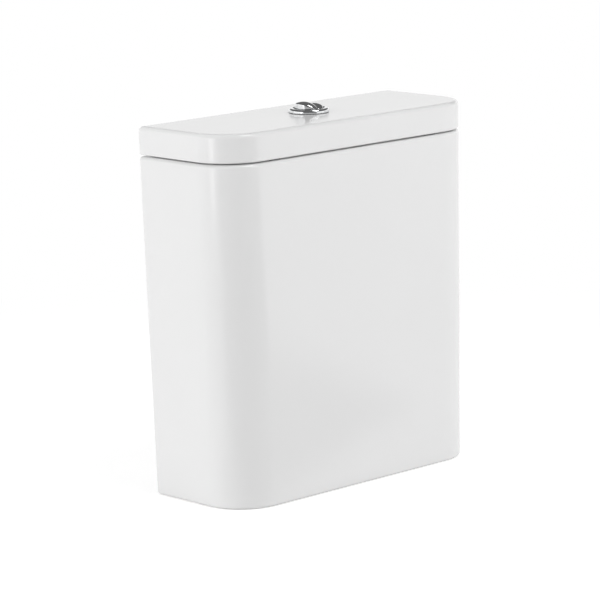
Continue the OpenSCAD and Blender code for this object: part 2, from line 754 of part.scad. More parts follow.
module seal_retainer() {
    hub_d = overflow_d + 2 * (hub_wall + fit_gap);
    color("white") at_valve() translate([0, 0, seat_z - retainer_t])
        tube(hub_d + 2 * retainer_w, hub_d, retainer_t);
}

// Clip on the overflow tube whose arm reaches the full lift rod
module lift_collar() {
    color("white") at_valve() translate([0, 0, collar_z]) difference() {
        union() {
            cylinder(d = overflow_d + 2 * collar_w, h = collar_t);
            translate([-lift_x, -collar_arm_w / 2, 0]) cube([lift_x, collar_arm_w, collar_t]);
            translate([-lift_x, 0, 0]) cylinder(d = lift_head_d, h = collar_t);
        }
        translate([0, 0, -overrun]) cylinder(d = overflow_d + 2 * fit_gap, h = collar_t + 2 * overrun);
        translate([-lift_x, 0, -overrun]) cylinder(d = lift_rod_d + 2 * fit_gap, h = collar_t + 2 * overrun);
    }
}

// A lift rod from foot_at up to the head that a lever's fork raises
module lift_rod(side, foot_at) {
    at_valve() translate([side * lift_x, 0, 0]) {
        translate([0, 0, foot_at]) cylinder(d = lift_rod_d, h = lift_head_z - foot_at);
        translate([0, 0, lift_head_z]) cylinder(d = lift_head_d, h = lift_head_t);
    }
}

module full_lift_rod() {
    color("steelblue") lift_rod(-1, collar_z - collar_gap - guide_l);
}

module half_lift_rod() {
    color("lightgray") lift_rod(1, cage_top_z - half_float_drop - half_float_h / 2);
}

// Foam block on the half lift rod that sets the smaller flush
module half_flush_float() {
    top = cage_top_z - half_float_drop;
    start = lift_x - lift_rod_d;
    color("white") at_valve() difference() {
        translate([start, -half_float_d / 2, top - half_float_h]) linear_extrude(half_float_h)
            translate([half_float_edge_r, half_float_edge_r]) offset(r = half_float_edge_r)
            square([half_float_w - 2 * half_float_edge_r, half_float_d - 2 * half_float_edge_r]);
        translate([lift_x, 0, top - half_float_h / 2 - fit_gap])
            cylinder(d = lift_rod_d + 2 * fit_gap, h = half_float_h);
    }
}

// Inlet: tail with its bore, clamping flange and riser
module fill_valve_body() {
    top = head_z + head_h / 2;
    flange_d = inlet_tail_d + 2 * fill_flange_w;
    color("whitesmoke") at_inlet() difference() {
        union() {
            translate([0, 0, inlet_tail_clear]) cylinder(d = inlet_tail_d, h = riser_z - inlet_tail_clear);
            translate([0, 0, floor_z + fill_washer_t]) cylinder(d = flange_d, h = fill_flange_t);
            translate([0, 0, riser_z]) cylinder(d = riser_d, h = top - riser_z);
        }
        translate([0, 0, inlet_tail_clear - overrun])
            cylinder(d = inlet_bore_d, h = top - inlet_tail_clear + 2 * overrun);
        translate([0, 0, foot_h - fill_nut_t - tail_groove_w])
            tube(inlet_tail_d + 2 * overrun, inlet_tail_d - 2 * tail_groove_depth, tail_groove_w);
    }
}

module fill_valve_washer() {
    inner_r = inlet_tail_d / 2 + fit_gap;
    color("black") at_inlet() translate([0, 0, floor_z]) rotate_extrude() polygon([
        [inner_r, 0], [inner_r + fill_washer_w, 0], [inner_r + fill_washer_w * 3 / 4, fill_washer_t],
        [inner_r, fill_washer_t]]);
}

module fill_valve_back_nut() {
    color("white") at_inlet() translate([0, 0, foot_h - fill_nut_t]) difference() {
        cylinder(d = fill_nut_af / cos(30), h = fill_nut_t, $fn = 6);
        translate([0, 0, -overrun]) cylinder(d = inlet_tail_d + 2 * fit_gap, h = fill_nut_t + 2 * overrun);
    }
}

// Strainer cup in the mouth of the inlet
module inlet_filter() {
    cup_d = inlet_bore_d - 2 * filter_gap;
    color("gold") at_inlet() translate([0, 0, inlet_tail_clear]) difference() {
        cylinder(d = cup_d, h = filter_l);
        translate([0, 0, -overrun])
            cylinder(d = cup_d - 2 * filter_wall, h = filter_l - filter_wall + overrun);
    }
}

// Outer sleeve that slides on the riser to set the height of the valve
module height_sleeve() {
    color("white") at_inlet() translate([0, 0, sleeve_z])
        tube(sleeve_d, riser_d + 2 * riser_gap, head_z - sleeve_z);
}

module height_lock_ring() {
    ring_d = sleeve_d + 2 * lock_ring_w;
    color("steelblue") at_inlet() translate([0, 0, sleeve_z - lock_ring_h]) difference() {
        union() {
            cylinder(d = ring_d, h = lock_ring_h);
            for (i = [0 : lock_ring_ribs - 1]) rotate([0, 0, 360 * i / lock_ring_ribs])
                translate([ring_d / 2, 0, 0]) cylinder(r = lock_rib_r, h = lock_ring_h);
        }
        translate([0, 0, -overrun]) cylinder(d = riser_d + 2 * riser_gap, h = lock_ring_h + 2 * overrun);
    }
}

// Head of the fill valve: chamber over the riser, seat of the diaphragm and side outlet
module fill_valve_head() {
    outlet_z = head_h / 2;
    color("white") at_inlet() translate([0, 0, head_z]) difference() {
        union() {
            cylinder(d = head_d, h = head_h);
            translate([0, silencer_y, 0]) cylinder(d = silencer_d + 2 * silencer_wall, h = head_h);
            translate([-silencer_d / 2, 0, 0]) cube([silencer_d, silencer_y, head_h]);
        }
        translate([0, 0, -overrun]) cylinder(d = riser_d + 2 * fit_gap, h = outlet_z + overrun);
        cylinder(d = head_bore_d, h = head_h + overrun);
        translate([0, 0, head_h - diaphragm_t / 2]) cylinder(d = diaphragm_d, h = diaphragm_t);
        translate([0, silencer_y, -overrun]) cylinder(d = silencer_d + 2 * fit_gap, h = outlet_z + overrun);
    }
}

module fill_diaphragm() {
    color("black") at_inlet() translate([0, 0, fill_cap_z - diaphragm_t / 2])
        cylinder(d = diaphragm_d - 2 * fit_gap, h = diaphragm_t);
}

// Screwed cap over the diaphragm, with the pilot spigot and the ears for the lever
module fill_valve_cap() {
    ear_h = cap_drop;
    ear_z = fill_cap_h;
    color("steelblue") at_inlet() translate([0, 0, fill_cap_z]) difference() {
        union() {
            cylinder(d = fill_cap_d, h = fill_cap_h);
            translate([0, 0, fill_cap_h]) cylinder(d = pilot_d, h = cap_drop - float_hub_r - pilot_clear);
            for (side = [-1, 1]) translate([float_pin_x, side * (ear_gap + cap_ear_t) / 2, ear_z]) {
                translate([-cap_ear_r, -cap_ear_t / 2, -overrun])
                    cube([2 * cap_ear_r, cap_ear_t, ear_h + overrun]);
                translate([0, 0, ear_h]) rotate([90, 0, 0])
                    cylinder(r = cap_ear_r, h = cap_ear_t, center = true);
            }
        }
        translate([0, 0, -overrun]) cylinder(d = diaphragm_d, h = diaphragm_t / 2 + overrun);
        translate([float_pin_x, 0, fill_cap_h + cap_drop]) rotate([90, 0, 0])
            cylinder(d = float_pin_d + 2 * fit_gap, h = ear_gap + 4 * cap_ear_t, center = true);
    }
}

// Tube that leads the water quietly to the bottom of the tank
module silencer_tube() {
    foot_at = floor_z + silencer_foot_gap;
    color("whitesmoke") at_inlet() translate([0, silencer_y, foot_at])
        tube(silencer_d, silencer_d - 2 * silencer_wall, head_z + head_h / 2 - foot_at);
}

// Arm from the cap's ears to the link rod of the float, drooping while the tank is empty
module float_lever() {
    color("white") at_inlet() translate([float_pin_x, 0, lever_pin_z]) rotate([0, -float_swing / 2, 0])
    difference() {
        union() {
            rotate([90, 0, 0]) cylinder(r = float_hub_r, h = float_lever_w, center = true);
            translate([-float_arm - link_head_d / 2, -float_lever_w / 2, -float_lever_t / 2])
                cube([float_arm + link_head_d / 2, float_lever_w, float_lever_t]);
        }
        rotate([90, 0, 0])
            cylinder(d = float_pin_d + 2 * run_gap, h = float_lever_w + 2 * overrun, center = true);
        translate([-float_arm - link_rod_d, -link_rod_d / 2 - slide_gap, -float_lever_t])
            cube([2 * link_rod_d, link_rod_d + 2 * slide_gap, 2 * float_lever_t]);
    }
}

module float_lever_pin() {
    color("silver") at_inlet() translate([float_pin_x, 0, lever_pin_z]) rotate([90, 0, 0])
        cylinder(d = float_pin_d, h = float_pin_l, center = true);
}

// Foam ring round the sleeve, with a bore for the link rod
module foam_float() {
    bore_r = sleeve_d / 2 + float_gap;
    r = float_d / 2;
    color("white") at_inlet() translate([0, 0, float_z]) difference() {
        union() {
            rotate_extrude() polygon([
                [bore_r, 0], [r - float_edge_r, 0], [r, float_edge_r],
                [r, float_h - float_edge_r], [r - float_edge_r, float_h], [bore_r, float_h]]);
            translate([-link_x, 0, float_h / 2]) cylinder(d = 3 * link_rod_d, h = float_h / 2);
            translate([-link_x, -3 * link_rod_d / 2, float_h / 2])
                cube([link_x - bore_r - float_clip_t, 3 * link_rod_d, float_h / 2]);
        }
        translate([-link_x, 0, float_h / 2 - overrun])
            cylinder(d = link_rod_d + 2 * fit_gap, h = float_h / 2 + 2 * overrun);
    }
}

// Rod from the float up through the slot of the lever, with a head above and a collar below it
module float_link_rod() {
    link_collar_z = link_head_z - float_lever_h - 2 * link_play - link_head_t;
    foot = float_z + float_h / 2;
    color("whitesmoke") at_inlet() translate([-link_x, 0, 0]) {
        translate([0, 0, foot]) cylinder(d = link_rod_d, h = link_head_z - foot);
        translate([0, 0, link_head_z]) cylinder(d = link_head_d, h = link_head_t);
        translate([0, 0, link_collar_z]) cylinder(d = link_head_d, h = link_head_t);
    }
}

// Two bolts with slotted heads inside the tank
module fixing_bolts() {
    color("silver") at_fixings() difference() {
        union() {
            translate([0, 0, bolt_seat_z - bolt_l]) cylinder(d = bolt_d - 2 * bolt_end_step, h = bolt_l);
            translate([0, 0, bolt_end_z]) cylinder(d = bolt_d, h = bolt_seat_z - bolt_end_z);
            translate([0, 0, bolt_seat_z]) cylinder(d = bolt_head_d, h = bolt_head_t);
        }
        translate([-bolt_head_d, -bolt_slot_w / 2, bolt_seat_z + bolt_head_t - bolt_slot_depth])
            cube([2 * bolt_head_d, bolt_slot_w, bolt_head_t]);
    }
}

// Tapered rubber washers that seal the bolts in the tank floor
module bolt_rubber_washers() {
    inner_r = bolt_d / 2 + fit_gap;
    color("black") at_fixings() translate([0, 0, floor_z]) rotate_extrude() polygon([
        [inner_r, 0], [bolt_rubber_d / 2, 0], [bolt_rubber_d / 2, bolt_rubber_t / 2],
        [(bolt_rubber_d + bolt_washer_d) / 4, bolt_rubber_t], [inner_r, bolt_rubber_t]]);
}

// One steel washer under each head and one above each nut
module bolt_steel_washers() {
    color("silver") at_fixings() for (z = [floor_z + bolt_rubber_t, foot_h - bolt_washer_t])
        translate([0, 0, z]) tube(bolt_washer_d, bolt_d + 2 * fit_gap, bolt_washer_t);
}

module bolt_nuts() {
    color("silver") at_fixings() translate([0, 0, foot_h - bolt_washer_t - bolt_nut_t]) difference() {
        cylinder(d = bolt_nut_af / cos(30), h = bolt_nut_t, $fn = 6);
        translate([0, 0, -overrun]) cylinder(d = bolt_d + 2 * fit_gap, h = bolt_nut_t + 2 * overrun);
    }
}

tank();
lid();
lid_pads();
button_gasket();
button_bezel();
button_bezel_nut();
full_flush_button();
half_flush_button();
full_button_spring();
half_button_spring();
full_push_rod();
half_push_rod();
flush_valve_base();
flush_valve_washer();
flush_valve_back_nut();
coupling_washer();
valve_cage();
tower_columns();
lever_bridge();
lever_pins();
full_flush_lever();
half_flush_lever();
overflow_tube();
flush_seal();
seal_retainer();
lift_collar();
full_lift_rod();
half_lift_rod();
half_flush_float();
fill_valve_body();
fill_valve_washer();
fill_valve_back_nut();
inlet_filter();
height_sleeve();
height_lock_ring();
fill_valve_head();
fill_diaphragm();
fill_valve_cap();
silencer_tube();
float_lever();
float_lever_pin();
foam_float();
float_link_rod();
fixing_bolts();
bolt_rubber_washers();
bolt_steel_washers();
bolt_nuts();
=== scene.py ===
import json
from functools import partial
from math import atan2, cos, hypot, pi, radians, sin, sqrt, tan
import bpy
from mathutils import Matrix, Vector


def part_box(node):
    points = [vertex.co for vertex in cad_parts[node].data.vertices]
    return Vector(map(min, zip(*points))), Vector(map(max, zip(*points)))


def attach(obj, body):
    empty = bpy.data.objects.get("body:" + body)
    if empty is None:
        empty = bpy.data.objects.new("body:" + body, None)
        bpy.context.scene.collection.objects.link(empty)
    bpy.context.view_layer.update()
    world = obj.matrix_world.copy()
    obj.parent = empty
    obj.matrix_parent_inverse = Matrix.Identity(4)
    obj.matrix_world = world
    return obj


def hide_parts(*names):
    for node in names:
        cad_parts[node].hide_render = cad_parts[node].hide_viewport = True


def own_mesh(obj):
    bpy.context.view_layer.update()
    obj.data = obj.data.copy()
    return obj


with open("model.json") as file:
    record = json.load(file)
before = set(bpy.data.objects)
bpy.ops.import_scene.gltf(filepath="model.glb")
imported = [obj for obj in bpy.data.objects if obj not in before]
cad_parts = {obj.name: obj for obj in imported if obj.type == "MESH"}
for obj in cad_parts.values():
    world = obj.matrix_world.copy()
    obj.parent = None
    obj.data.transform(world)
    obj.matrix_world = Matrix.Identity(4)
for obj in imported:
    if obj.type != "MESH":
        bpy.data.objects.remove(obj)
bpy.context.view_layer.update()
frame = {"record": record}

from types import SimpleNamespace

import bmesh
import bpy
from mathutils import Matrix, Vector

bl_info = {
    "name": "Toilet cistern",
    "version": (1, 0, 0),
    "blender": (4, 5, 0),
    "location": "3D View > Sidebar > Cistern",
    "description": "Close-coupled china cistern with its push button, flush valve and fill valve",
    "category": "Object",
}

RECORD = frame["record"]
SLOT_OF = {row["node"]: row["material_slot"] for row in RECORD["subparts"]}
BODY_OF = {node: body for body, nodes in RECORD["behaviour"]["bodies"].items() for node in nodes}
MM = 0.001


# Sizes and colours

def length(name, about, mm):
    """A size that the user sees as a length; mm is its default in millimetres"""
    return bpy.props.FloatProperty(name=name, description=about, default=mm * MM, min=0.0,
                                   unit="LENGTH", precision=4)


def count(name, about, number):
    return bpy.props.IntProperty(name=name, description=about, default=number, min=1)


def vector(name, about, value, **kind):
    return bpy.props.FloatVectorProperty(name=name, description=about, default=value, size=3, **kind)


def colour(name, about, rgb):
    return vector(name, about, rgb, subtype="COLOR", min=0.0, max=1.0)


def factor(name, about, value, top=1.0):
    return bpy.props.FloatProperty(name=name, description=about, default=value, min=0.0, max=top)


def strength(name, about, value):
    return bpy.props.FloatProperty(name=name, description=about, default=value, min=0.0, subtype="POWER")


def box_mm(node):
    """Lowest and highest corner of a CAD node, in millimetres"""
    low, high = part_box(node)
    return Vector(low) / MM, Vector(high) / MM


def middle_mm(node):
    low, high = box_mm(node)
    return ((low.x + high.x) / 2, (low.y + high.y) / 2)


TANK_LOW, TANK_HIGH = box_mm("tank")
LID_LOW, LID_HIGH = box_mm("lid")
NUTS_LOW, NUTS_HIGH = box_mm("bolt_nuts")
VALVE = middle_mm("overflow_tube")
INLET = middle_mm("fill_valve_cap")
FIXING_X = NUTS_HIGH.x - (NUTS_HIGH.y - NUTS_LOW.y) / 2
ROD_X = middle_mm("half_push_rod")[0]
# The floor's own light, and the painted shadow that gloss sees on it, a dark wedge: bearing, distance and
# softness of a side
FLOOR_LIFT = 0.36
PAINTED_FLOOR_SHADOW = ((15.8, 0.215, 0.03), (64.2, -0.135, 0.03), (105.0, 0.0, 0.15))
# What gloss sees around: a dark studio; a backdrop up to an elevation, open to each side of the camera's
# azimuth by a gap; and cards of azimuth, half width, top elevation and strength
DARK_STUDIO = 0.14
BACKDROP, BACKDROP_TOP, CAMERA_SIDE, CAMERA_GAP = 0.85, 15, 233, 38
CARDS = ((160, 32, 18, 1.2), (298, 24, 14, 1.15))
# Lamps: azimuth, elevation, distance, width, height, the kind of ray that can't see them, and their target
MIDDLE = (0, 0, 0.2)
LAMPS = {
    "left_lamp": (156, 12, 2.2, 1.5, 1.3, "glossy", MIDDLE),
    "right_lamp": (310, 10, 2.2, 1.5, 1.3, "glossy", MIDDLE),
    "key_lamp": (276, 60, 2.2, 0.7, 0.7, "glossy", MIDDLE),
    "glint_lamp": (284, 58, 2.2, 0.7, 1.2, "diffuse", MIDDLE),
    "strip_lamp": (182, 0, 0.75, 0.15, 0.30, "diffuse", (-0.13, -0.02, 0.34)),
}


class CisternChina(bpy.types.PropertyGroup):
    """Sizes of the tank and its lid"""
    width: length("Width", "Width of the tank across its rim", TANK_HIGH.x - TANK_LOW.x)
    depth: length("Depth", "Depth of the tank at its rim", TANK_HIGH.y - TANK_LOW.y)
    height: length("Height", "Height of the tank from its foot to its rim", TANK_HIGH.z)
    side_taper: length("Side taper", "How far each side leans in from the rim to the base", 4.5)
    back_rake: length("Back rake", "How far the back leans forward from the rim to the base", 5.5)
    front_corner: length("Front corners", "Radius of the two front corners", 50)
    back_corner: length("Back corners", "Radius of the two back corners", 4)
    wall: length("Wall", "Thickness of the china wall", 9)
    floor: length("Floor", "Thickness of the china floor", 11)
    foot_height: length("Foot height", "Height of the recess under the floor", 32)
    foot_width: length("Foot width", "Width of the foot around the recess", 15)
    base_edge: length("Base edge", "Radius of the outer edge at the base", 4)
    rim_edge: length("Rim edge", "Radius of the edges of the rim", 4.0)
    cove: length("Floor cove", "Radius between the walls and the floor inside", 9)
    lid_bottom: length("Lid underside", "Height of the lower edge of the lid", TANK_HIGH.z + 1.5)
    lid_top: length("Lid top", "Height of the top of the lid", LID_HIGH.z)
    lid_thickness: length("Lid thickness", "Thickness of the top of the lid", 9)
    lid_edge: length("Lid edge", "Radius of the top edge at the front and the sides", 5)
    lid_back_edge: length("Lid back edge", "Radius of the top edge at the back", 6)
    lid_lower_edge: length("Lid lower edge", "Radius of the bottom edge of the lid", 2)
    lip_gap: length("Lip gap", "Gap between the lip and the inside of the tank", 2)
    lip_thickness: length("Lip thickness", "Thickness of the locating lip", 5)
    button_hole: length("Button hole", "Diameter of the hole in the lid", 38.6)
    bolt_hole: length("Bolt holes", "Diameter of the fixing holes", 13)
    outlet_hole: length("Outlet hole", "Diameter of the hole for the outlet", 62)
    inlet_hole: length("Inlet hole", "Diameter of the hole for the inlet", 19)


class CisternButton(bpy.types.PropertyGroup):
    """Sizes of the chromed push button"""
    bezel: length("Bezel", "Outer diameter of the bezel", 43.4)
    crest: length("Crest", "Radius of the rolled crest of the bezel", 18.7)
    crest_half: length("Crest half width", "Half width of the rolled crest", 0.9)
    crest_height: length("Crest height", "Height of the crest above the gasket", 4.2)
    edge_height: length("Edge height", "Upright part of the bezel's outer edge", 1.3)
    throat: length("Throat", "How far the inner slope falls from the crest", 1.6)
    bore: length("Bore", "Diameter of the bore in which the caps slide", 31.4)
    shank: length("Shank", "Diameter of the shank over its thread", 36)
    cap_gap: length("Cap gap", "Gap round a cap and to the split", 0.3)
    cap_split: length("Split", "The split lies this far right of the middle", 1.6)
    cap_corner: length("Cap corners", "Radius of the two corners of a cap in plan", 1.5)
    cap_edge: length("Cap edge", "Radius of the upper edge of a cap", 1.6)
    full_rise: length("Full flush rise", "Height of the full flush cap above the lid", 12.2)
    half_rise: length("Half flush rise", "Height of the half flush cap above the lid", 9.2)
    full_dome: length("Full flush dome", "Radius of the full flush dome", 20.5)
    half_dome: length("Half flush dome", "Radius of the half flush dome", 17)
    thread_depth: length("Thread depth", "Depth of the thread on the shank", 0.9)
    nut_width: length("Nut width", "Width of the nut's ring", 9)
    web: length("Web", "Thickness of the web that carries the springs", 3)
    web_drop: length("Web drop", "Underside of the web below the top of the lid", 30)
    rod_hole: length("Rod holes", "Diameter of the holes for the push rods", 5.8)
    push_rod: length("Push rods", "Diameter of the push rods", 5)
    coil_wire: length("Spring wire", "Diameter of the spring wire", 0.9)
    coil_radius: length("Spring radius", "Mean radius of the coils", 4.6)
    coil_turns: count("Spring turns", "Turns of each spring", 5)


class CisternValves(bpy.types.PropertyGroup):
    """Sizes of the two valves and the fixings"""
    outlet_bore: length("Outlet bore", "Bore of the outlet", 50)
    tail_wall: length("Tail wall", "Wall of the outlet tail, thread included", 4.8)
    thread_depth: length("Thread depth", "Depth of the outlet thread", 0.9)
    flange: length("Flange", "Thickness of the clamping flange", 5)
    back_nut_width: length("Back nut width", "Width of the back nut's ring", 7.5)
    cage: length("Cage", "Diameter of the water cage", 72)
    overflow: length("Overflow tube", "Outer diameter of the overflow tube", 32)
    column_y: length("Columns", "Distance of each column from the axis", 30)
    lift_rod: length("Lift rods", "Diameter of the lift rods", 4)
    inlet_bore: length("Inlet bore", "Bore of the inlet", 10)
    inlet_tail: length("Inlet tail", "Diameter of the inlet tail over its thread", 16.6)
    sleeve: length("Sleeve", "Outer diameter of the height sleeve", 25)
    link_rod: length("Link rod", "Diameter of the float's link rod", 3.6)
    link_collar: length("Link collar", "Top of the link rod down to its collar", 12)
    bolt: length("Bolts", "Diameter of the fixing bolts", 8)


class CisternFinish(bpy.types.PropertyGroup):
    """Colours of the finishes"""
    china: colour("China", "Glazed china", (0.85, 0.85, 0.85))
    bisque: colour("Bare china", "Unglazed foot and recess", (0.74, 0.71, 0.66))
    chrome: colour("Chrome", "Chrome plating", (0.80, 0.81, 0.82))
    white_plastic: colour("White plastic", "Valves, nuts and rods", (0.84, 0.84, 0.82))
    clear_grey_plastic: colour("Clear grey plastic", "Silencer tube", (0.66, 0.69, 0.70))
    blue_plastic: colour("Blue plastic", "Full flush parts and caps", (0.045, 0.16, 0.42))
    grey_plastic: colour("Grey plastic", "Half flush parts", (0.36, 0.38, 0.39))
    black_rubber: colour("Black rubber", "Washers and gasket", (0.022, 0.022, 0.023))
    grey_rubber: colour("Grey rubber", "Pads under the lid", (0.16, 0.16, 0.165))
    red_silicone: colour("Red silicone", "Flush seal", (0.42, 0.035, 0.025))
    foam: colour("Foam", "Floats", (0.78, 0.77, 0.73))
    spring_steel: colour("Spring steel", "Coil springs", (0.50, 0.51, 0.53))
    zinc_steel: colour("Zinc plated steel", "Bolts, nuts, washers and pins", (0.62, 0.62, 0.60))
    brass: colour("Brass", "Inlet filter", (0.62, 0.42, 0.17))
    floor: colour("Floor", "Studio floor", (0.93, 0.93, 0.93))


class CisternStudio(bpy.types.PropertyGroup):
    """Camera and lamps"""
    camera_at: vector("Camera place", "Where the camera stands", (-2.28195, -2.41203, 0.83916),
                      subtype="TRANSLATION", unit="LENGTH")
    camera_right: vector("Camera right", "Direction of the picture's right-hand side",
                         (0.72638011, -0.68687086, -0.02409068), subtype="DIRECTION")
    camera_up: vector("Camera up", "Direction of the picture's upper side",
                      (0.14889508, 0.12304705, 0.98116751), subtype="DIRECTION")
    lens: bpy.props.FloatProperty(name="Lens", description="Focal length on a 36 mm sensor", default=189.467,
                                  min=1.0, subtype="DISTANCE_CAMERA")
    left_lamp: strength("Left lamp", "Power of the large low lamp on the left", 15.3)
    right_lamp: strength("Right lamp", "Power of the large low lamp on the right", 8.5)
    key_lamp: strength("Key lamp", "Power of the smaller high lamp near the camera", 9.7)
    glint_lamp: strength("Glint lamp", "Power of the lamp that draws glints on rounded edges", 14.0)
    strip_lamp: strength("Strip lamp", "Power of the lamp that draws the streak on the left corner", 0.35)
    ambient: factor("Ambient", "Light of the studio from all sides", 0.59, 4)


def in_mm(group):
    """The sizes of a property group in millimetres, counts as they are"""
    rows = {}
    for key in group.__annotations__:
        value = getattr(group, key)
        rows[key] = value if isinstance(value, int) else value / MM
    return SimpleNamespace(**rows)


# Node trees

def feed(tree, node, values):
    """Set inputs of a node to plain values or to the sockets and nodes that feed them"""
    for key, value in values.items():
        if isinstance(value, bpy.types.Node):
            value = value.outputs[0]
        if isinstance(value, bpy.types.NodeSocket):
            tree.links.new(value, node.inputs[key])
        else:
            node.inputs[key].default_value = value
    return node


def add(tree, kind, values=None, **settings):
    """Add a node with its settings and inputs"""
    node = tree.nodes.new(kind)
    for key, value in settings.items():
        setattr(node, key, value)
    return feed(tree, node, values or {})


def maths(tree, operation, *values):
    return add(tree, "ShaderNodeMath", dict(enumerate(values)), operation=operation)


def ramp(tree, value, start, stop, low=0.0, high=1.0, kind="SMOOTHSTEP"):
    """Map start to stop onto low to high, and hold the ends"""
    return add(tree, "ShaderNodeMapRange", {
        "Value": value, "From Min": start, "From Max": stop, "To Min": low, "To Max": high},
        interpolation_type=kind)


def blend_values(tree, share, low, high):
    return ramp(tree, share, 0.0, 1.0, low, high, "LINEAR")


def blend_colours(tree, share, first, second):
    """Mix two colours; the inputs of this node are told apart only by their number"""
    return add(tree, "ShaderNodeMix", {0: share, 6: first, 7: second}, data_type="RGBA").outputs[2]


def new_group(name, kind, inputs, outputs):
    """A node group; inputs maps labels to their defaults, or to a kind of socket where there is none"""
    tree = bpy.data.node_groups.new(name, kind)
    for label, default in inputs.items():
        bare = isinstance(default, str)
        socket_kind = default if bare else {int: "Int", float: "Float", tuple: "Vector"}[type(default)]
        socket = tree.interface.new_socket(label, in_out="INPUT", socket_type="NodeSocket" + socket_kind)
        if not bare:
            socket.default_value = default
    for label, socket_kind in outputs.items():
        tree.interface.new_socket(label, in_out="OUTPUT", socket_type="NodeSocket" + socket_kind)
    return tree, tree.nodes.new("NodeGroupInput").outputs, tree.nodes.new("NodeGroupOutput")


def finish_geometry(tree, geometry, material, out):
    """The common end of the geometry trees: real instances, then the material"""
    real = add(tree, "GeometryNodeRealizeInstances", {"Geometry": geometry})
    dressed_mesh = add(tree, "GeometryNodeSetMaterial", {"Geometry": real, "Material": material})
    feed(tree, out, {"Geometry": dressed_mesh})


def turning_tree():
    """Turns a closed profile round the Z axis; the part outside Lobe Radius swells into lobes"""
    tree, given, out = new_group("cistern_turning", "GeometryNodeTree", {
        "Geometry": "Geometry", "Steps": 96, "Lobes": 0, "Lobe Height": 0.0, "Lobe Radius": 1.0,
        "Lobe Sharpness": 1.0, "Material": "Material"}, {"Geometry": "Geometry"})
    sums = partial(maths, tree)
    sizes = add(tree, "GeometryNodeAttributeDomainSize", {"Geometry": given["Geometry"]})
    points = sizes.outputs["Point Count"]
    row = sums("ADD", points, 1)
    grid = add(tree, "GeometryNodeMeshGrid", {
        "Vertices X": sums("ADD", given["Steps"], 1), "Vertices Y": row})
    index = add(tree, "GeometryNodeInputIndex")
    turn = sums("FLOOR", sums("DIVIDE", index, row))
    along = sums("MODULO", sums("SUBTRACT", index, sums("MULTIPLY", turn, row)), points)
    profile = add(tree, "GeometryNodeSampleIndex", {
        "Geometry": given["Geometry"], "Value": add(tree, "GeometryNodeInputPosition"),
        "Index": along}, data_type="FLOAT_VECTOR")
    x, _, z = add(tree, "ShaderNodeSeparateXYZ", {0: profile}).outputs
    angle = sums("MULTIPLY", turn, sums("DIVIDE", 2 * pi, given["Steps"]))
    wave = sums("COSINE", sums("MULTIPLY", angle, given["Lobes"]))
    swell = sums("POWER", sums("MAXIMUM", wave, 0.0), given["Lobe Sharpness"])
    outside = sums("GREATER_THAN", x, given["Lobe Radius"])
    radius = sums("ADD", x, sums("MULTIPLY", sums("MULTIPLY", swell, outside), given["Lobe Height"]))
    place = add(tree, "ShaderNodeCombineXYZ", {
        "X": sums("MULTIPLY", radius, sums("COSINE", angle)),
        "Y": sums("MULTIPLY", radius, sums("SINE", angle)), "Z": z})
    shaped = add(tree, "GeometryNodeSetPosition", {"Geometry": grid.outputs["Mesh"], "Position": place})
    welded = add(tree, "GeometryNodeMergeByDistance", {"Geometry": shaped, "Distance": 0.002 * MM})
    finish_geometry(tree, welded, given["Material"], out)


def coil_tree():
    """A wire or ridge wound on the Z axis, with its end turns drawn together by Closed Ends"""
    tree, given, out = new_group("cistern_coil", "GeometryNodeTree", {
        "Geometry": "Geometry", "Radius": 0.01, "Height": 0.01, "Turns": 5.0, "Wire Radius": 0.001,
        "Wire Sides": 8, "Steps per Turn": 32, "Closed Ends": 0.0, "Material": "Material"},
        {"Geometry": "Geometry"})
    sums = partial(maths, tree)
    spiral = add(tree, "GeometryNodeCurveSpiral", {
        "Resolution": given["Steps per Turn"], "Rotations": given["Turns"],
        "Start Radius": given["Radius"], "End Radius": given["Radius"], "Height": given["Height"]})
    x, y, z = add(tree, "ShaderNodeSeparateXYZ", {0: add(tree, "GeometryNodeInputPosition")}).outputs
    share = sums("DIVIDE", z, given["Height"])
    wave = sums("DIVIDE", sums("SINE", sums("MULTIPLY", share, 2 * pi)), 2 * pi)
    drawn = sums("SUBTRACT", share, sums("MULTIPLY", wave, given["Closed Ends"]))
    place = add(tree, "ShaderNodeCombineXYZ", {
        "X": x, "Y": y, "Z": sums("MULTIPLY", drawn, given["Height"])})
    path = add(tree, "GeometryNodeSetPosition", {"Geometry": spiral, "Position": place})
    upright = add(tree, "GeometryNodeSetCurveNormal", {"Curve": path}, mode="Z_UP")
    ring = add(tree, "GeometryNodeCurvePrimitiveCircle", {
        "Resolution": given["Wire Sides"], "Radius": given["Wire Radius"]})
    wire = add(tree, "GeometryNodeCurveToMesh", {"Curve": upright, "Profile Curve": ring, "Fill Caps": True})
    finish_geometry(tree, wire, given["Material"], out)


# Meshes

def new_piece(name, mesh):
    piece = bpy.data.objects.new(name, mesh)
    bpy.context.scene.collection.objects.link(piece)
    return piece


def mesh_from(name, points, faces, edges=()):
    """A mesh from points in millimetres"""
    mesh = bpy.data.meshes.new(name)
    mesh.from_pydata([tuple(c * MM for c in p) for p in points], edges, faces)
    mesh.update()
    return mesh


def plain(piece):
    """Replace a piece's mesh by what its modifiers make of it, and remove them"""
    bpy.context.view_layer.update()
    depsgraph = bpy.context.evaluated_depsgraph_get()
    mesh = bpy.data.meshes.new_from_object(piece.evaluated_get(depsgraph), preserve_all_data_layers=True,
                                           depsgraph=depsgraph)
    old = piece.data
    piece.modifiers.clear()
    piece.data = mesh
    bpy.data.meshes.remove(old)
    mesh.name = piece.name


def tidy_mesh(piece):
    """Weld doubles and point the faces outwards"""
    work = bmesh.new()
    work.from_mesh(piece.data)
    bmesh.ops.remove_doubles(work, verts=work.verts, dist=0.001 * MM)
    bmesh.ops.dissolve_degenerate(work, edges=work.edges, dist=0.0005 * MM)
    bmesh.ops.recalc_face_normals(work, faces=work.faces)
    work.to_mesh(piece.data)
    work.free()


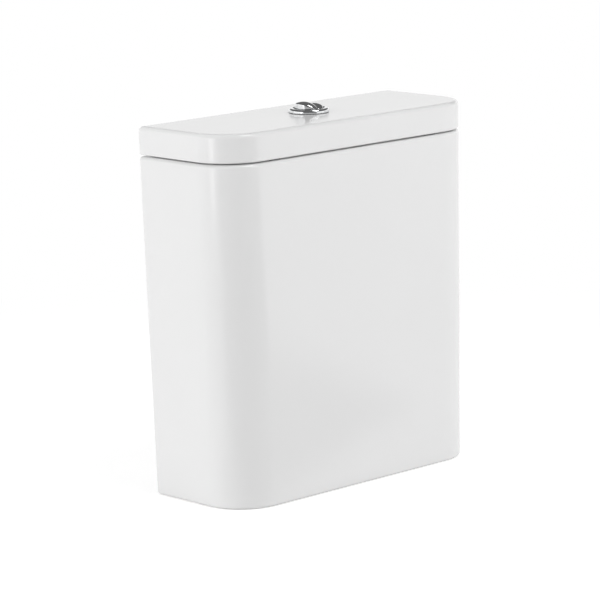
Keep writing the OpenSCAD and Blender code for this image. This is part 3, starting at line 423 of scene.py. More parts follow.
def smooth(piece, angle=35.0):
    """Smooth shading up to an angle, with the normals of large faces kept flat"""
    mesh = piece.data
    mesh.shade_smooth()
    mesh.set_sharp_from_angle(angle=radians(angle))
    weigh = piece.modifiers.new("normals", "WEIGHTED_NORMAL")
    weigh.keep_sharp = True
    weigh.weight = 100
    plain(piece)


def merge(name, pieces):
    """Join finished pieces into one object"""
    work = bmesh.new()
    for piece in pieces:
        work.from_mesh(piece.data)
    mesh = bpy.data.meshes.new(name)
    work.to_mesh(mesh)
    work.free()
    for piece in pieces:
        old = piece.data
        bpy.data.objects.remove(piece)
        bpy.data.meshes.remove(old)
    return new_piece(name, mesh)


def adopt(piece, node):
    """Give a piece the body, the slot and the finish of the CAD node that it stands for"""
    slot = SLOT_OF[node]
    piece.data.materials.clear()
    piece.data.materials.append(bpy.data.materials[slot + "_finish"])
    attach(piece, BODY_OF[node])
    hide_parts(node)
    return piece


def finished(node, *pieces, angle=35.0):
    """Join and smooth the pieces that stand for a CAD node"""
    piece = merge(node + "_finished", pieces) if len(pieces) > 1 else pieces[0]
    smooth(piece, angle)
    return adopt(piece, node)


def rounded(corners, steps=4):
    """A closed outline of points x, z and corner radius, with the corners rounded"""
    points = []
    for i, (x, z, radius) in enumerate(corners):
        here = Vector((x, z))
        back = Vector(corners[i - 1][:2]) - here
        ahead = Vector(corners[(i + 1) % len(corners)][:2]) - here
        half = back.angle(ahead) / 2
        if radius <= 0 or half > radians(88):
            points.append(here)
            continue
        cut = min(radius / tan(half), 0.48 * min(back.length, ahead.length))
        centre = here + (back.normalized() + ahead.normalized()).normalized() * cut / cos(half)
        start = here + back.normalized() * cut - centre
        stop = here + ahead.normalized() * cut - centre
        first = atan2(start.y, start.x)
        sweep = (atan2(stop.y, stop.x) - first + pi) % (2 * pi) - pi
        points += [centre + Vector((cos(first + sweep * k / steps), sin(first + sweep * k / steps)))
                   * start.length for k in range(steps + 1)]
    return points


def grown(name, mesh, group, place, inputs):
    """Run a geometry tree on a mesh, keep the plain mesh that comes out and move it to its place"""
    piece = new_piece(name, mesh)
    shape = piece.modifiers.new("shape", "NODES")
    shape.node_group = bpy.data.node_groups[group]
    for item in shape.node_group.interface.items_tree:
        if item.in_out == "INPUT" and item.name in inputs:
            shape[item.identifier] = inputs[item.name]
    plain(piece)
    tidy_mesh(piece)
    piece.data.transform(Matrix.Translation(Vector(place) * MM))
    return piece


def turned(name, profile, centre=VALVE, steps=96, lobes=0, lobe_height=0.0, lobe_radius=1e6,
           lobe_sharpness=1.0, corner_steps=4):
    """A part turned round an upright axis from a closed profile of radius, height and corner radius"""
    outline = rounded(profile, corner_steps)
    loop = [(i, (i + 1) % len(outline)) for i in range(len(outline))]
    mesh = mesh_from(name, [(p.x, 0, p.y) for p in outline], [], loop)
    return grown(name, mesh, "cistern_turning", (*centre, 0), {
        "Steps": steps, "Lobes": lobes, "Lobe Height": lobe_height * MM, "Lobe Radius": lobe_radius * MM,
        "Lobe Sharpness": lobe_sharpness})


def simple(node, profile, centre=VALVE, steps=96, **lobes):
    """A turned part that stands for one CAD node"""
    return finished(node, turned(node + "_finished", profile, centre, steps, **lobes))


def ring_profile(inner, outer, low, high, edge, low_edge=None, high_edge=None):
    """A ring with one corner radius, or with its own at the outer corners"""
    return [(inner, low, edge), (outer, low, low_edge or edge), (outer, high, high_edge or edge),
            (inner, high, edge)]


def ring(node, inner, *edges, centre=VALVE, steps=96, outer=None, lobes=0, lobe_root=0.0,
         lobe_sharpness=1.0):
    """A turned ring as wide and high as its CAD node; with lobes, outer is its radius between them"""
    low, high = box_mm(node)
    wide = high.x - centre[0]
    outer = outer or wide
    simple(node, ring_profile(inner, outer, low.z, high.z, *edges), centre, steps, lobes=lobes,
           lobe_height=wide - outer, lobe_radius=outer - lobe_root, lobe_sharpness=lobe_sharpness)


def coiled(name, centre, low, height, radius, turns, wire, sides, steps, closed=0.0):
    """A wire or thread ridge wound round an upright axis"""
    return grown(name, mesh_from(name, [(0, 0, 0)], []), "cistern_coil", (*centre, low), {
        "Radius": radius * MM, "Height": height * MM, "Turns": turns, "Wire Radius": wire * MM,
        "Wire Sides": sides, "Steps per Turn": steps, "Closed Ends": closed})


def thread(name, centre, low, high, crest, pitch=2.4, depth=0.9):
    """The ridge of a screw thread that ends at radius crest"""
    ridge = 1.15 * depth
    return coiled(name, centre, low + ridge, high - low - 2 * ridge, crest - ridge,
                  (high - low - 2 * ridge) / pitch, ridge, sides=6, steps=72)


def dressed(node, edge=0.4, steps=2):
    """A copy of a CAD solid with its sharp edges rounded"""
    mesh = bpy.data.objects[node].data.copy()
    piece = new_piece(node + "_finished", mesh)
    work = bmesh.new()
    work.from_mesh(mesh)
    bmesh.ops.remove_doubles(work, verts=work.verts, dist=0.001 * MM)
    bmesh.ops.dissolve_limit(work, angle_limit=radians(0.6), verts=work.verts, edges=work.edges)
    work.to_mesh(mesh)
    work.free()
    bevel = piece.modifiers.new("edges", "BEVEL")
    bevel.width = edge * MM
    bevel.segments = steps
    bevel.limit_method = "ANGLE"
    bevel.angle_limit = radians(38)
    bevel.use_clamp_overlap = True
    plain(piece)
    smooth(piece)
    return adopt(piece, node)


# China

def arc(cx, cy, radius, start, steps, lead):
    """A quarter turn anticlockwise from the angle start, with a point on the straight at each end"""
    def at(degrees, past=0):
        turn = radians(degrees)
        return cx + radius * cos(turn) - past * sin(turn), cy + radius * sin(turn) + past * cos(turn)
    bend = [at(start + 90 * i / steps) for i in range(steps + 1)]
    return [at(start, -lead), *bend, at(start + 90, lead)]


def china_sides(china, z):
    """Half width, front and back of the china at height z"""
    lean = 1 - z / china.height
    half = china.width / 2 - china.side_taper * lean
    return half, -china.depth / 2, china.depth / 2 - china.back_rake * max(0, lean)


def china_ring(china, z, front_in, back_in, front_r, back_r, lead=1.5):
    """The plan outline of the china at height z, drawn in at the front and sides and at the back"""
    half, front, back = china_sides(china, z)
    half, front, back = half - front_in, front + front_in, back - back_in
    plan = (arc(half - back_r, back - back_r, back_r, 0, 8, lead)
            + arc(-half + back_r, back - back_r, back_r, 90, 8, lead)
            + arc(-half + front_r, front + front_r, front_r, 180, 32, lead)
            + arc(half - front_r, front + front_r, front_r, 270, 32, lead))
    return [(x, y, z) for x, y in plan]


def outer_ring(china, z, front_in=0, back_in=None):
    back_in = front_in if back_in is None else back_in
    return china_ring(china, z, front_in, back_in, china.front_corner - front_in,
                      max(china.back_corner - min(front_in, back_in), 0.6))


def inner_ring(china, z, inset, back_r=5):
    return china_ring(china, z, inset, inset, china.front_corner - inset, back_r)


def inset_at(china, place):
    """How far a place lies inside the outline of the china at its height"""
    half, front, back = china_sides(china, place.z)
    side, ahead, behind = half - abs(place.x), place.y - front, back - place.y
    r = china.front_corner
    if side < r and ahead < r:
        return r - hypot(r - side, r - ahead)
    return min(side, ahead, behind)


def loft(name, rings):
    """A closed solid through rings with as many points each"""
    size = len(rings[0])
    faces = [list(range(size))[::-1]]
    for k in range(len(rings) - 1):
        for i in range(size):
            j = (i + 1) % size
            faces.append([k * size + i, k * size + j, (k + 1) * size + j, (k + 1) * size + i])
    faces.append([(len(rings) - 1) * size + i for i in range(size)])
    piece = new_piece(name, mesh_from(name, [p for ring in rings for p in ring], faces))
    tidy_mesh(piece)
    return piece


def pierce(piece, low, high, *holes):
    """Cut upright round holes of x, y and diameter"""
    work = bmesh.new()
    for x, y, diameter in holes:
        place = Matrix.Translation((x * MM, y * MM, (low + high) / 2 * MM))
        bmesh.ops.create_cone(work, cap_ends=True, segments=96, radius1=diameter / 2 * MM,
                              radius2=diameter / 2 * MM, depth=(high - low) * MM, matrix=place)
    mesh = bpy.data.meshes.new("cutter")
    work.to_mesh(mesh)
    work.free()
    cutter = new_piece("cutter", mesh)
    cut = piece.modifiers.new("holes", "BOOLEAN")
    cut.operation = "DIFFERENCE"
    cut.solver = "EXACT"
    cut.object = cutter
    plain(piece)
    bpy.data.objects.remove(cutter)
    bpy.data.meshes.remove(mesh)


def quarter(steps):
    """A quarter round as shares of its radius, leaving one face and coming up to the next"""
    return [(1 - cos(pi / 2 * i / steps), 1 - sin(pi / 2 * i / steps)) for i in range(steps + 1)]


def mark_glaze(piece, glazed):
    """Store how far each point is glazed, from 0 on bare china to 1"""
    layer = piece.data.attributes.new("glazed", "FLOAT", "POINT")
    for vertex, value in zip(piece.data.vertices, layer.data):
        value.value = glazed(vertex.co / MM)


def tank_rings(china):
    """Rings of the tank from the ceiling of its recess, round the foot and the rim, down to its floor"""
    draft, ceiling_r, inner_edge, lead, recess_corner, corner = 2, 4, 3, 2, 6, 8
    ceiling, top, rim = china.foot_height, china.height, china.rim_edge
    floor = ceiling + china.floor
    rings = [inner_ring(china, ceiling - ceiling_r * out, china.foot_width + draft + ceiling_r * up,
                        recess_corner) for out, up in quarter(4)]
    rings += [inner_ring(china, inner_edge * up, china.foot_width - inner_edge * out, recess_corner)
              for out, up in quarter(4)]
    rings += [outer_ring(china, china.base_edge * out, china.base_edge * up) for out, up in quarter(10)]
    rings.append(outer_ring(china, china.base_edge + lead))
    rings += [outer_ring(china, top * share) for share in (0.2, 0.4, 0.6, 0.8)]
    rings.append(outer_ring(china, top - rim - lead))
    rings += [outer_ring(china, top - rim * up, rim * out) for out, up in quarter(6)]
    rings += [inner_ring(china, top - rim * out, china.wall - rim * up, corner) for out, up in quarter(6)]
    rings.append(inner_ring(china, top - rim - lead, china.wall, corner))
    rings += [inner_ring(china, floor + china.cove * up, china.wall + china.cove * out,
                         corner * (1 - out / 2)) for out, up in quarter(10)]
    return rings


def lid_rings(china):
    """Rings of the lid from the ceiling of its hollow, round the lip and the lower edge, to its top"""
    draft, ceiling_r, tip, lead, corner = 3, 6, 1.6, 1.5, 8
    lip_low, low, edge = LID_LOW.z, china.lid_bottom, china.lid_lower_edge
    lip_out = china.wall + china.lip_gap
    lip_in = lip_out + china.lip_thickness
    ceiling = china.lid_top - china.lid_thickness
    rings = [inner_ring(china, ceiling - ceiling_r * out, lip_in + draft + ceiling_r * up)
             for out, up in quarter(6)]
    rings += [inner_ring(china, lip_low + tip * up, lip_in - tip * out) for out, up in quarter(4)]
    rings += [inner_ring(china, lip_low + tip * out, lip_out + tip * up, corner) for out, up in quarter(4)]
    rings.append(inner_ring(china, low, lip_out, corner))
    rings += [outer_ring(china, low + edge * out, edge * up) for out, up in quarter(6)]
    rings += [outer_ring(china, low + edge + lead), outer_ring(china, china.lid_top - china.lid_edge - lead)]
    for out, up in quarter(24):
        z = china.lid_top - china.lid_edge * up
        above = max(0, z - (china.lid_top - china.lid_back_edge))
        back = china.lid_back_edge - sqrt(max(0, china.lid_back_edge ** 2 - above ** 2))
        rings.append(outer_ring(china, z, china.lid_edge * out, back))
    rings.append(outer_ring(china, china.lid_top, china.lid_edge + lead, china.lid_back_edge + lead))
    return rings


class CISTERN_OT_tank(bpy.types.Operator):
    """Build the china tank"""
    bl_idname = "cistern.tank"
    bl_label = "Tank"

    def execute(self, context):
        china = in_mm(context.scene.cistern_china)
        piece = loft("tank_finished", tank_rings(china))
        floor = china.foot_height + china.floor
        holes = [(*VALVE, china.outlet_hole), (*INLET, china.inlet_hole)]
        holes += [(side * FIXING_X, VALVE[1], china.bolt_hole) for side in (-1, 1)]
        past, fade = 5, 1.2
        pierce(piece, china.foot_height - past, floor + past, *holes)

        def glazed(place):
            if place.z < floor - 0.5 and inset_at(china, place) > china.base_edge - 0.2:
                return 0.0
            return min(1.0, place.z / fade)
        mark_glaze(piece, glazed)
        finished("tank", piece)
        return {"FINISHED"}


class CISTERN_OT_lid(bpy.types.Operator):
    """Build the china lid and the pads that it rests on"""
    bl_idname = "cistern.lid"
    bl_label = "Lid"

    def execute(self, context):
        china = in_mm(context.scene.cistern_china)
        piece = loft("lid_finished", lid_rings(china))
        top, past = china.lid_top, 5
        pierce(piece, top - china.lid_thickness - past, top + past, (*VALVE, china.button_hole))
        mark_glaze(piece, lambda place: 0.0 if place.z < LID_LOW.z + 0.4 else 1.0)
        finished("lid", piece)
        dressed("lid_pads", 0.35)
        return {"FINISHED"}


# Push button

def cap_plan(radius, split, corner, inset):
    """Outline of a disc cut off at x = split, with rounded corners, drawn in by inset"""
    arc_steps, corner_steps, edge_steps = 96, 8, 24
    x = split - corner
    y = sqrt((radius - corner) ** 2 - x ** 2)
    turn = atan2(y, x)
    small = max(corner - inset, 0.05)
    points = [((radius - inset) * cos(a), (radius - inset) * sin(a))
              for a in (turn + (2 * pi - 2 * turn) * i / arc_steps for i in range(arc_steps + 1))]
    points += [(x + small * cos(a), -y + small * sin(a))
               for a in (-turn * (1 - i / corner_steps) for i in range(1, corner_steps + 1))]
    points += [(x + small, -y + 2 * y * i / edge_steps) for i in range(1, edge_steps)]
    points += [(x + small * cos(a), y + small * sin(a))
               for a in (turn * i / corner_steps for i in range(corner_steps))]
    return points


def cap_shell(name, button, top, bottom, mirror, split, dome_x, dome_r, rise, wall=2.0):
    """Domed shell of one cap, open underneath"""
    radius = button.bore / 2 - button.cap_gap
    ball = top + rise - dome_r
    lip = 0.3

    def crown(x, y, r):
        return ball + sqrt(r ** 2 - (x - dome_x) ** 2 - y ** 2)

    def outline(inset, height):
        plan = cap_plan(radius, split, button.cap_corner, inset)
        return [(x * mirror, y + VALVE[1], height(x * mirror, y)) for x, y in plan]

    def level(inset, z):
        return outline(inset, lambda x, y: z)

    def dome(inset, drop=0.0, r=dome_r):
        return outline(inset, lambda x, y: crown(x, y, r) - drop)

    def shrunk(points, share, r):
        plan = [(dome_x + (x - dome_x) * share, (y - VALVE[1]) * share) for x, y, _ in points]
        return [(x, y + VALVE[1], crown(x, y, r)) for x, y in plan]

    inner, outer = dome(wall, r=dome_r - wall), dome(button.cap_edge)
    rings = [shrunk(inner, share, dome_r - wall) for share in [0.02] + [i / 12 for i in range(1, 12)]]
    rings += [inner, level(wall, bottom + lip), level(wall - lip, bottom), level(lip, bottom),
              level(0, bottom + lip), dome(0, button.cap_edge + 0.15)]
    rings += [dome(button.cap_edge * out, button.cap_edge * up) for out, up in quarter(8)]
    rings += [shrunk(outer, share, dome_r)
              for share in [0.97] + [1 - i / 22 for i in range(2, 22)] + [0.02]]
    return loft(name, rings)


def bezel(china, button):
    """The bezel with its thread and the web that carries the springs"""
    top = china.lid_top
    low, high = box_mm("button_bezel")
    seat = high.z - button.crest_height
    bore, shank, outer = button.bore / 2, button.shank / 2, button.bezel / 2
    root = shank - button.thread_depth
    roll_from = button.crest + button.crest_half
    roll = [(roll_from + (outer - roll_from) * cos(a),
             seat + button.edge_height + (button.crest_height - button.edge_height) * sin(a), 0)
            for a in (radians(7.5 * i) for i in range(1, 12))]
    body = turned("bezel_ring", [
        (bore, low.z, 0.3), (root, low.z, 0.3), (root, seat, 0.2), (outer, seat, 0.3),
        (outer, seat + button.edge_height, 0.2)] + roll + [
        (roll_from, high.z, 0), (button.crest - button.crest_half, high.z, 0.9),
        (bore, high.z - button.throat, 0.5)], steps=192, corner_steps=8)
    thread_end = top - china.lid_thickness + 4
    ridge = thread("bezel_thread", VALVE, low.z, thread_end, shank)
    web_low = top - button.web_drop
    web_high = web_low + button.web
    sunk, past = 0.3, 1
    web = turned("bezel_web", ring_profile(0, bore + sunk, web_low, web_high, 0))
    rods = [(side * ROD_X, VALVE[1], button.rod_hole) for side in (-1, 1)]
    pierce(web, web_low - past, web_high + past, *rods)
    finished("button_bezel", body, ridge, web, angle=40)


def cap_with_rod(china, button, side, mirror, dome_x, dome_r, rise):
    """One cap with its push rod and its spring; mirror is 1 for the full flush and -1 for the half"""
    top = china.lid_top
    split, rod_x = mirror * button.cap_split - button.cap_gap, -mirror * ROD_X
    at = (rod_x, VALVE[1])
    node = side + "_flush_button"
    low = box_mm(node)[0].z
    shell = cap_shell(node + "_shell", button, top, low, mirror, split, dome_x, dome_r, rise)
    r = button.push_rod / 2
    rod, boss, coil_seat = r + 0.05, r + 1.2, button.coil_radius + 0.8
    seat_top, rod_top, roof = low + 1.5, low + 9, top + rise - 3.2
    post = turned(node + "_boss", [
        (rod, low, 0.2), (coil_seat, low, 0.3), (coil_seat, seat_top, 0.3), (boss, seat_top, 0.3),
        (boss, roof, 0), (0, roof, 0), (0, rod_top, 0), (rod, rod_top, 0)], at, 48)
    finished(node, shell, post, angle=50)

    node = side + "_push_rod"
    low, high = box_mm(node)
    foot, thick = high.x - rod_x, 3
    foot_top, collar = low.z + thick, top - button.web_drop - 0.3
    simple(node, [
        (0, low.z, 0), (foot, low.z, 0.9), (foot, foot_top, 0.5), (r, foot_top, 0.4),
        (r, collar - thick, 0.4), (foot, collar - thick, 0.5), (foot, collar, 0.5),
        (r, collar, 0.4), (r, high.z, 0.5), (0, high.z, 0)], at, 40)

    node = side + "_button_spring"
    low, high = box_mm(node)
    wire, tall, end_turns = button.coil_wire / 2, high.z - low.z, 1.5
    coil = coiled(node + "_finished", at, low.z + wire, tall - 2 * wire, button.coil_radius,
                  button.coil_turns + end_turns, wire, sides=10, steps=40, closed=0.72)
    piece = finished(node, coil, angle=60)
    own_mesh(piece)


class CISTERN_OT_button(bpy.types.Operator):
    """Build the chromed push button with its nut, springs and rods"""
    bl_idname = "cistern.button"
    bl_label = "Push button"

    def execute(self, context):
        china, button = in_mm(context.scene.cistern_china), in_mm(context.scene.cistern_button)
        bezel(china, button)
        shank = button.shank / 2
        ring("button_gasket", shank + 0.3, 0.1, 0.2, 0.2)
        ring("button_bezel_nut", shank + 0.05, 0.5, 1.2, 0.6, steps=240, outer=shank + button.nut_width,
             lobes=12, lobe_root=3, lobe_sharpness=1.4)
        cap_with_rod(china, button, "full", mirror=1, dome_x=-8.3, dome_r=button.full_dome,
                     rise=button.full_rise)
        cap_with_rod(china, button, "half", mirror=-1, dome_x=7.0, dome_r=button.half_dome,
                     rise=button.half_rise)
        return {"FINISHED"}


# Flush valve

def valve_base(valves):
    """The base with its seat and threaded tail, and what is clamped round the tail"""
    low, high = box_mm("flush_valve_base")
    washer_low, washer_high = box_mm("flush_valve_washer")
    bore, tail = valves.outlet_bore / 2, valves.outlet_bore / 2 + valves.tail_wall
    root, hug = tail - valves.thread_depth, tail + 0.05
    flange, flange_low = high.x, washer_high.z
    deck = flange_low + valves.flange
    socket_in, socket_top = valves.cage / 2 + 0.3, deck + 7
    socket_out, seat = socket_in + 2.6, bore + 4.1
    funnel, funnel_low, thread_end = bore + 1.5, high.z - 6, washer_low.z - 11
    base = turned("valve_base_body", [
        (bore, low.z, 0.6), (root, low.z, 0.6), (root, flange_low, 0.8), (flange, flange_low, 0.6),
        (flange, deck, 1.2), (socket_out, deck, 0.8), (socket_out, socket_top, 0.6),
        (socket_in, socket_top, 0.6), (socket_in, deck, 0.3), (seat, deck, 0.6), (seat, high.z, 0.8),
        (funnel, high.z, 0.6), (bore, funnel_low, 0.5)], steps=128)
    ridge = thread("valve_base_thread", VALVE, low.z, thread_end, tail)
    finished("flush_valve_base", base, ridge)

    ring("flush_valve_washer", hug, 0.8)
    ring("flush_valve_back_nut", hug, 0.8, steps=240, outer=tail + valves.back_nut_width,
         lobes=8, lobe_root=2.5, lobe_sharpness=1.6)
    low, high = box_mm("coupling_washer")
    taper = 4
    simple("coupling_washer", [
        (hug, low.z, 1.0), (high.x - taper, low.z, 2.0), (high.x, (low.z + high.z) / 2, 2.0),
        (high.x, high.z, 1.4), (hug, high.z, 0.8)])


def overflow_tube(valves):
    """The overflow tube with the seal that it lifts"""
    low, high = box_mm("overflow_tube")
    r, wall, carrier, seal_top = valves.overflow / 2, 2, high.x, box_mm("flush_seal")[1].z
    hub, carrier_top, hub_top = r + wall, seal_top + 3.5, seal_top + 7
    simple("overflow_tube", [
        (r - wall, low.z, 0.4), (hub, low.z, 0.5), (hub, seal_top, 0.2), (carrier, seal_top, 0.6),
        (carrier, carrier_top, 1.0), (hub, carrier_top, 1.0), (hub, hub_top, 0.6),
        (r, hub_top, 0.6), (r, high.z, 0.7), (r - wall, high.z, 0.7)])
    ring("flush_seal", hub + 0.05, 0.9)
    ring("seal_retainer", hub + 0.05, 0.5)


def valve_tower(valves):
    """The two columns and the two lift rods"""
    low, high = box_mm("tower_columns")
    peg = 2.45
    shoulder_low, shoulder_high = box_mm("valve_cage")[1].z, box_mm("lever_bridge")[0].z
    finished("tower_columns", *[turned("post", [
        (0, low.z, 0), (peg, low.z, 0.4), (peg, shoulder_low, 0), (high.x, shoulder_low, 0.4),
        (high.x, shoulder_high, 0.4), (peg, shoulder_high, 0), (peg, high.z, 0.4), (0, high.z, 0)],
        (0, VALVE[1] + side * valves.column_y), 48) for side in (-1, 1)])

    for node in ("full_lift_rod", "half_lift_rod"):
        low, high = box_mm(node)
        r, head, head_low = valves.lift_rod / 2, (high.x - low.x) / 2, high.z - 3
        simple(node, [(0, low.z, 0), (r, low.z, 0.6), (r, head_low, 0.3), (head, head_low, 0.5),
                      (head, high.z, 0.9), (0, high.z, 0)], middle_mm(node), 40)


class CISTERN_OT_flush_valve(bpy.types.Operator):
    """Build the flush valve with its levers and floats"""
    bl_idname = "cistern.flush_valve"
    bl_label = "Flush valve"

    def execute(self, context):
        valves = in_mm(context.scene.cistern_valves)
        valve_base(valves)
        overflow_tube(valves)
        valve_tower(valves)
        for node in ("lever_bridge", "full_flush_lever", "half_flush_lever", "lift_collar"):
            dressed(node, 0.5)
        dressed("valve_cage", 0.4)
        dressed("lever_pins", 0.3)
        dressed("half_flush_float", 1.2, 3)
        return {"FINISHED"}


# Fill valve

def fill_body(valves):
    """The body with its threaded tail, the washer, the nut and the filter; returns the riser's radius"""
    low, high = box_mm("fill_valve_body")
    bore, tail = valves.inlet_bore / 2, valves.inlet_tail / 2
    root, riser, flange, hug = tail - 0.75, bore + 3.5, tail + 7, tail + 0.05
    washer_low, washer_high = box_mm("fill_valve_washer")
    deck = washer_high.z + 4
    body = turned("fill_body", [
        (bore, low.z, 0.5), (root, low.z, 0.6), (root, washer_low.z, 0), (tail, washer_low.z, 0),
        (tail, washer_high.z, 0.3), (flange, washer_high.z, 0.6), (flange, deck, 1.0),
        (riser, deck, 0.8), (riser, high.z, 0.4), (bore, high.z, 0.4)], INLET)
    nut_top = box_mm("fill_valve_back_nut")[1].z
    ridge = thread("fill_thread", INLET, low.z, nut_top, tail, pitch=1.34, depth=0.7)
    finished("fill_valve_body", body, ridge)

    wide, taper = washer_high.x - INLET[0], 1.5
    simple("fill_valve_washer", [
        (hug, washer_low.z, 0.6), (wide, washer_low.z, 0.8), (wide - taper, washer_high.z, 0.8),
        (hug, washer_high.z, 0.6)], INLET)
    dressed("fill_valve_back_nut", 0.6)
    low, high = box_mm("inlet_filter")
    r, wall = high.x - INLET[0], 0.8
    simple("inlet_filter", [
        (r - wall, low.z, 0.2), (r, low.z, 0.2), (r, high.z, 1.0), (0, high.z, 0),
        (0, high.z - wall, 0), (r - wall, high.z - wall, 0.6)], INLET, 48)
    return riser


def height_parts(valves, riser):
    """The sleeve that sets the height, its lock ring and the silencer tube"""
    low, high = box_mm("height_sleeve")
    r, inner, toothed_share, pitch, depth = high.x - INLET[0], riser + 0.3, 0.62, 4.0, 0.45
    sleeve = [(inner, low.z, 0.3), (r, low.z, 0.4)]
    for i in range(int((high.z - low.z) * toothed_share / pitch)):
        z = low.z + (i + 1) * pitch
        sleeve += [(r, z, 0.1), (r - depth, z + 0.5, 0.1), (r, z + 1.8, 0.2)]
    simple("height_sleeve", sleeve + [(r, high.z, 0.3), (inner, high.z, 0.3)], INLET, 72)
    ring("height_lock_ring", inner, 0.8, centre=INLET, steps=280, outer=valves.sleeve / 2 + 4.5,
         lobes=20, lobe_root=1, lobe_sharpness=2.0)
    low, high = box_mm("silencer_tube")
    wall = 1.5
    ring("silencer_tube", (high.x - low.x) / 2 - wall, 0.5, centre=middle_mm("silencer_tube"), steps=48)


def link_rod(valves):
    """The rod that the float hangs on, with a collar and a head"""
    low, high = box_mm("float_link_rod")
    r, head, thick = valves.link_rod / 2, (high.x - low.x) / 2, 2.5
    collar, head_low = high.z - valves.link_collar, high.z - thick
    simple("float_link_rod", [
        (0, low.z, 0), (r, low.z, 0.4), (r, collar - thick, 0.3), (head, collar - thick, 0.5),
        (head, collar, 0.5), (r, collar, 0.3), (r, head_low, 0.3), (head, head_low, 0.5),
        (head, high.z, 0.9), (0, high.z, 0)], middle_mm("float_link_rod"), 40)


class CISTERN_OT_fill_valve(bpy.types.Operator):
    """Build the fill valve with its float"""
    bl_idname = "cistern.fill_valve"
    bl_label = "Fill valve"

    def execute(self, context):
        valves = in_mm(context.scene.cistern_valves)
        height_parts(valves, fill_body(valves))
        link_rod(valves)
        for node in ("fill_valve_head", "fill_valve_cap", "float_lever"):
            dressed(node, 0.6)
        dressed("fill_diaphragm", 0.3)
        dressed("float_lever_pin", 0.3)
        dressed("foam_float", 1.0, 3)
        return {"FINISHED"}


# Fixings

class CISTERN_OT_fixings(bpy.types.Operator):
    """Build the two fixing bolts with their washers and nuts"""
    bl_idname = "cistern.fixings"
    bl_label = "Fixings"

    def execute(self, context):
        valves = in_mm(context.scene.cistern_valves)
        low = box_mm("fixing_bolts")[0].z
        places = [(side * FIXING_X, VALVE[1]) for side in (-1, 1)]
        dressed("fixing_bolts", 0.5)
        r, hug, thread_length = valves.bolt / 2, valves.bolt / 2 + 0.05, 27
        threads = merge("fixing_bolt_threads", [
            thread("bolt_thread", at, low + 0.3, low + thread_length, r, pitch=1.25, depth=0.45)
            for at in places])
        smooth(threads)
        adopt(threads, "fixing_bolts")

        low, high = box_mm("bolt_rubber_washers")
        wide = high.x - FIXING_X
        narrow = wide / 2 + 5
        finished("bolt_rubber_washers", *[turned("rubber", [
            (hug, low.z, 0.4), (wide, low.z, 0.7), (wide, (low.z + high.z) / 2, 0.9),
            (narrow, high.z, 0.6), (hug, high.z, 0.4)], at, 64) for at in places])
        low, high = box_mm("bolt_steel_washers")
        wide, thick = high.x - FIXING_X, 1.6
        finished("bolt_steel_washers", *[
            turned("washer", ring_profile(hug, wide, z, z + thick, 0.25), at, 64)
            for at in places for z in (low.z, high.z - thick)])
        dressed("bolt_nuts", 0.5)
        return {"FINISHED"}


# Finishes

def effect_groups():
    """Shared effects: each puts out only values that change over the surface"""
    tree, given, out = new_group("cistern_mottle", "ShaderNodeTree", {
        "Vector": "Vector", "Scale": 50.0, "Detail": 3.0, "Contrast": 1.5}, {"Value": "Float"})
    noise = add(tree, "ShaderNodeTexNoise", {key: given[key] for key in ("Vector", "Scale", "Detail")})
    spread = maths(tree, "MULTIPLY_ADD", maths(tree, "SUBTRACT", noise, 0.5), given["Contrast"], 0.5)
    spread.use_clamp = True
    feed(tree, out, {"Value": spread})

    tree, given, out = new_group("cistern_drawn_lines", "ShaderNodeTree", {
        "Vector": "Vector", "Scale": 900.0, "Stretch": (1.0, 1.0, 0.02)}, {"Value": "Float"})
    stretched = add(tree, "ShaderNodeVectorMath", {0: given["Vector"], 1: given["Stretch"]},
                    operation="MULTIPLY")
    noise = add(tree, "ShaderNodeTexNoise", {"Vector": stretched, "Scale": given["Scale"], "Detail": 2.0})
    feed(tree, out, {"Value": noise})

    tree, given, out = new_group("cistern_hairlines", "ShaderNodeTree", {
        "Vector": "Vector", "Scale": 60.0, "Width": 0.006}, {"Mask": "Float"})
    bent = add(tree, "ShaderNodeTexNoise", {
        "Vector": given["Vector"], "Scale": given["Scale"], "Detail": 1.0, "Distortion": 2.5})
    near = maths(tree, "ABSOLUTE", maths(tree, "SUBTRACT", bent, 0.5))
    line = ramp(tree, near, 0.0, given["Width"], 1.0, 0.0, "LINEAR")
    patches = add(tree, "ShaderNodeTexNoise", {
        "Vector": given["Vector"], "Scale": maths(tree, "MULTIPLY", given["Scale"], 2.3)})
    gate = ramp(tree, patches, 0.5, 0.6, kind="LINEAR")
    feed(tree, out, {"Mask": maths(tree, "MULTIPLY", line, gate)})

    tree, given, out = new_group("cistern_pores", "ShaderNodeTree", {
        "Vector": "Vector", "Scale": 700.0, "Depth": 0.5}, {"Height": "Float", "Mask": "Float"})
    cells = add(tree, "ShaderNodeTexVoronoi", {"Vector": given["Vector"], "Scale": given["Scale"]})
    deep = ramp(tree, cells, 0.0, given["Depth"])
    # Mask is 1 in the pits, where the foam paints shade
    feed(tree, out, {"Height": deep, "Mask": maths(tree, "SUBTRACT", 1.0, deep)})


def effect(tree, name, vector, **values):
    node = add(tree, "ShaderNodeGroup", node_tree=bpy.data.node_groups[name])
    return feed(tree, node, {"Vector": vector, **values})


def mottle(tree, vector, scale, detail=3.0, contrast=1.5):
    return effect(tree, "cistern_mottle", vector, Scale=scale, Detail=detail, Contrast=contrast)


def empty_tree(owner):
    """The node tree of a new material or world, without its first nodes"""
    owner.use_nodes = True
    owner.node_tree.nodes.clear()
    return owner.node_tree


def new_finish(slot, rgb, **constants):
    """A material with its coordinates, its shader and its plain values set on the shader"""
    material = bpy.data.materials.new(slot + "_finish")
    material.diffuse_color = (*rgb, 1)
    tree = empty_tree(material)
    shader = add(tree, "ShaderNodeBsdfPrincipled", constants)
    add(tree, "ShaderNodeOutputMaterial", {"Surface": shader})
    return tree, add(tree, "ShaderNodeTexCoord").outputs["Object"], shader


def shade(rgb, by):
    return (*[min(1.0, c * by) for c in rgb], 1)


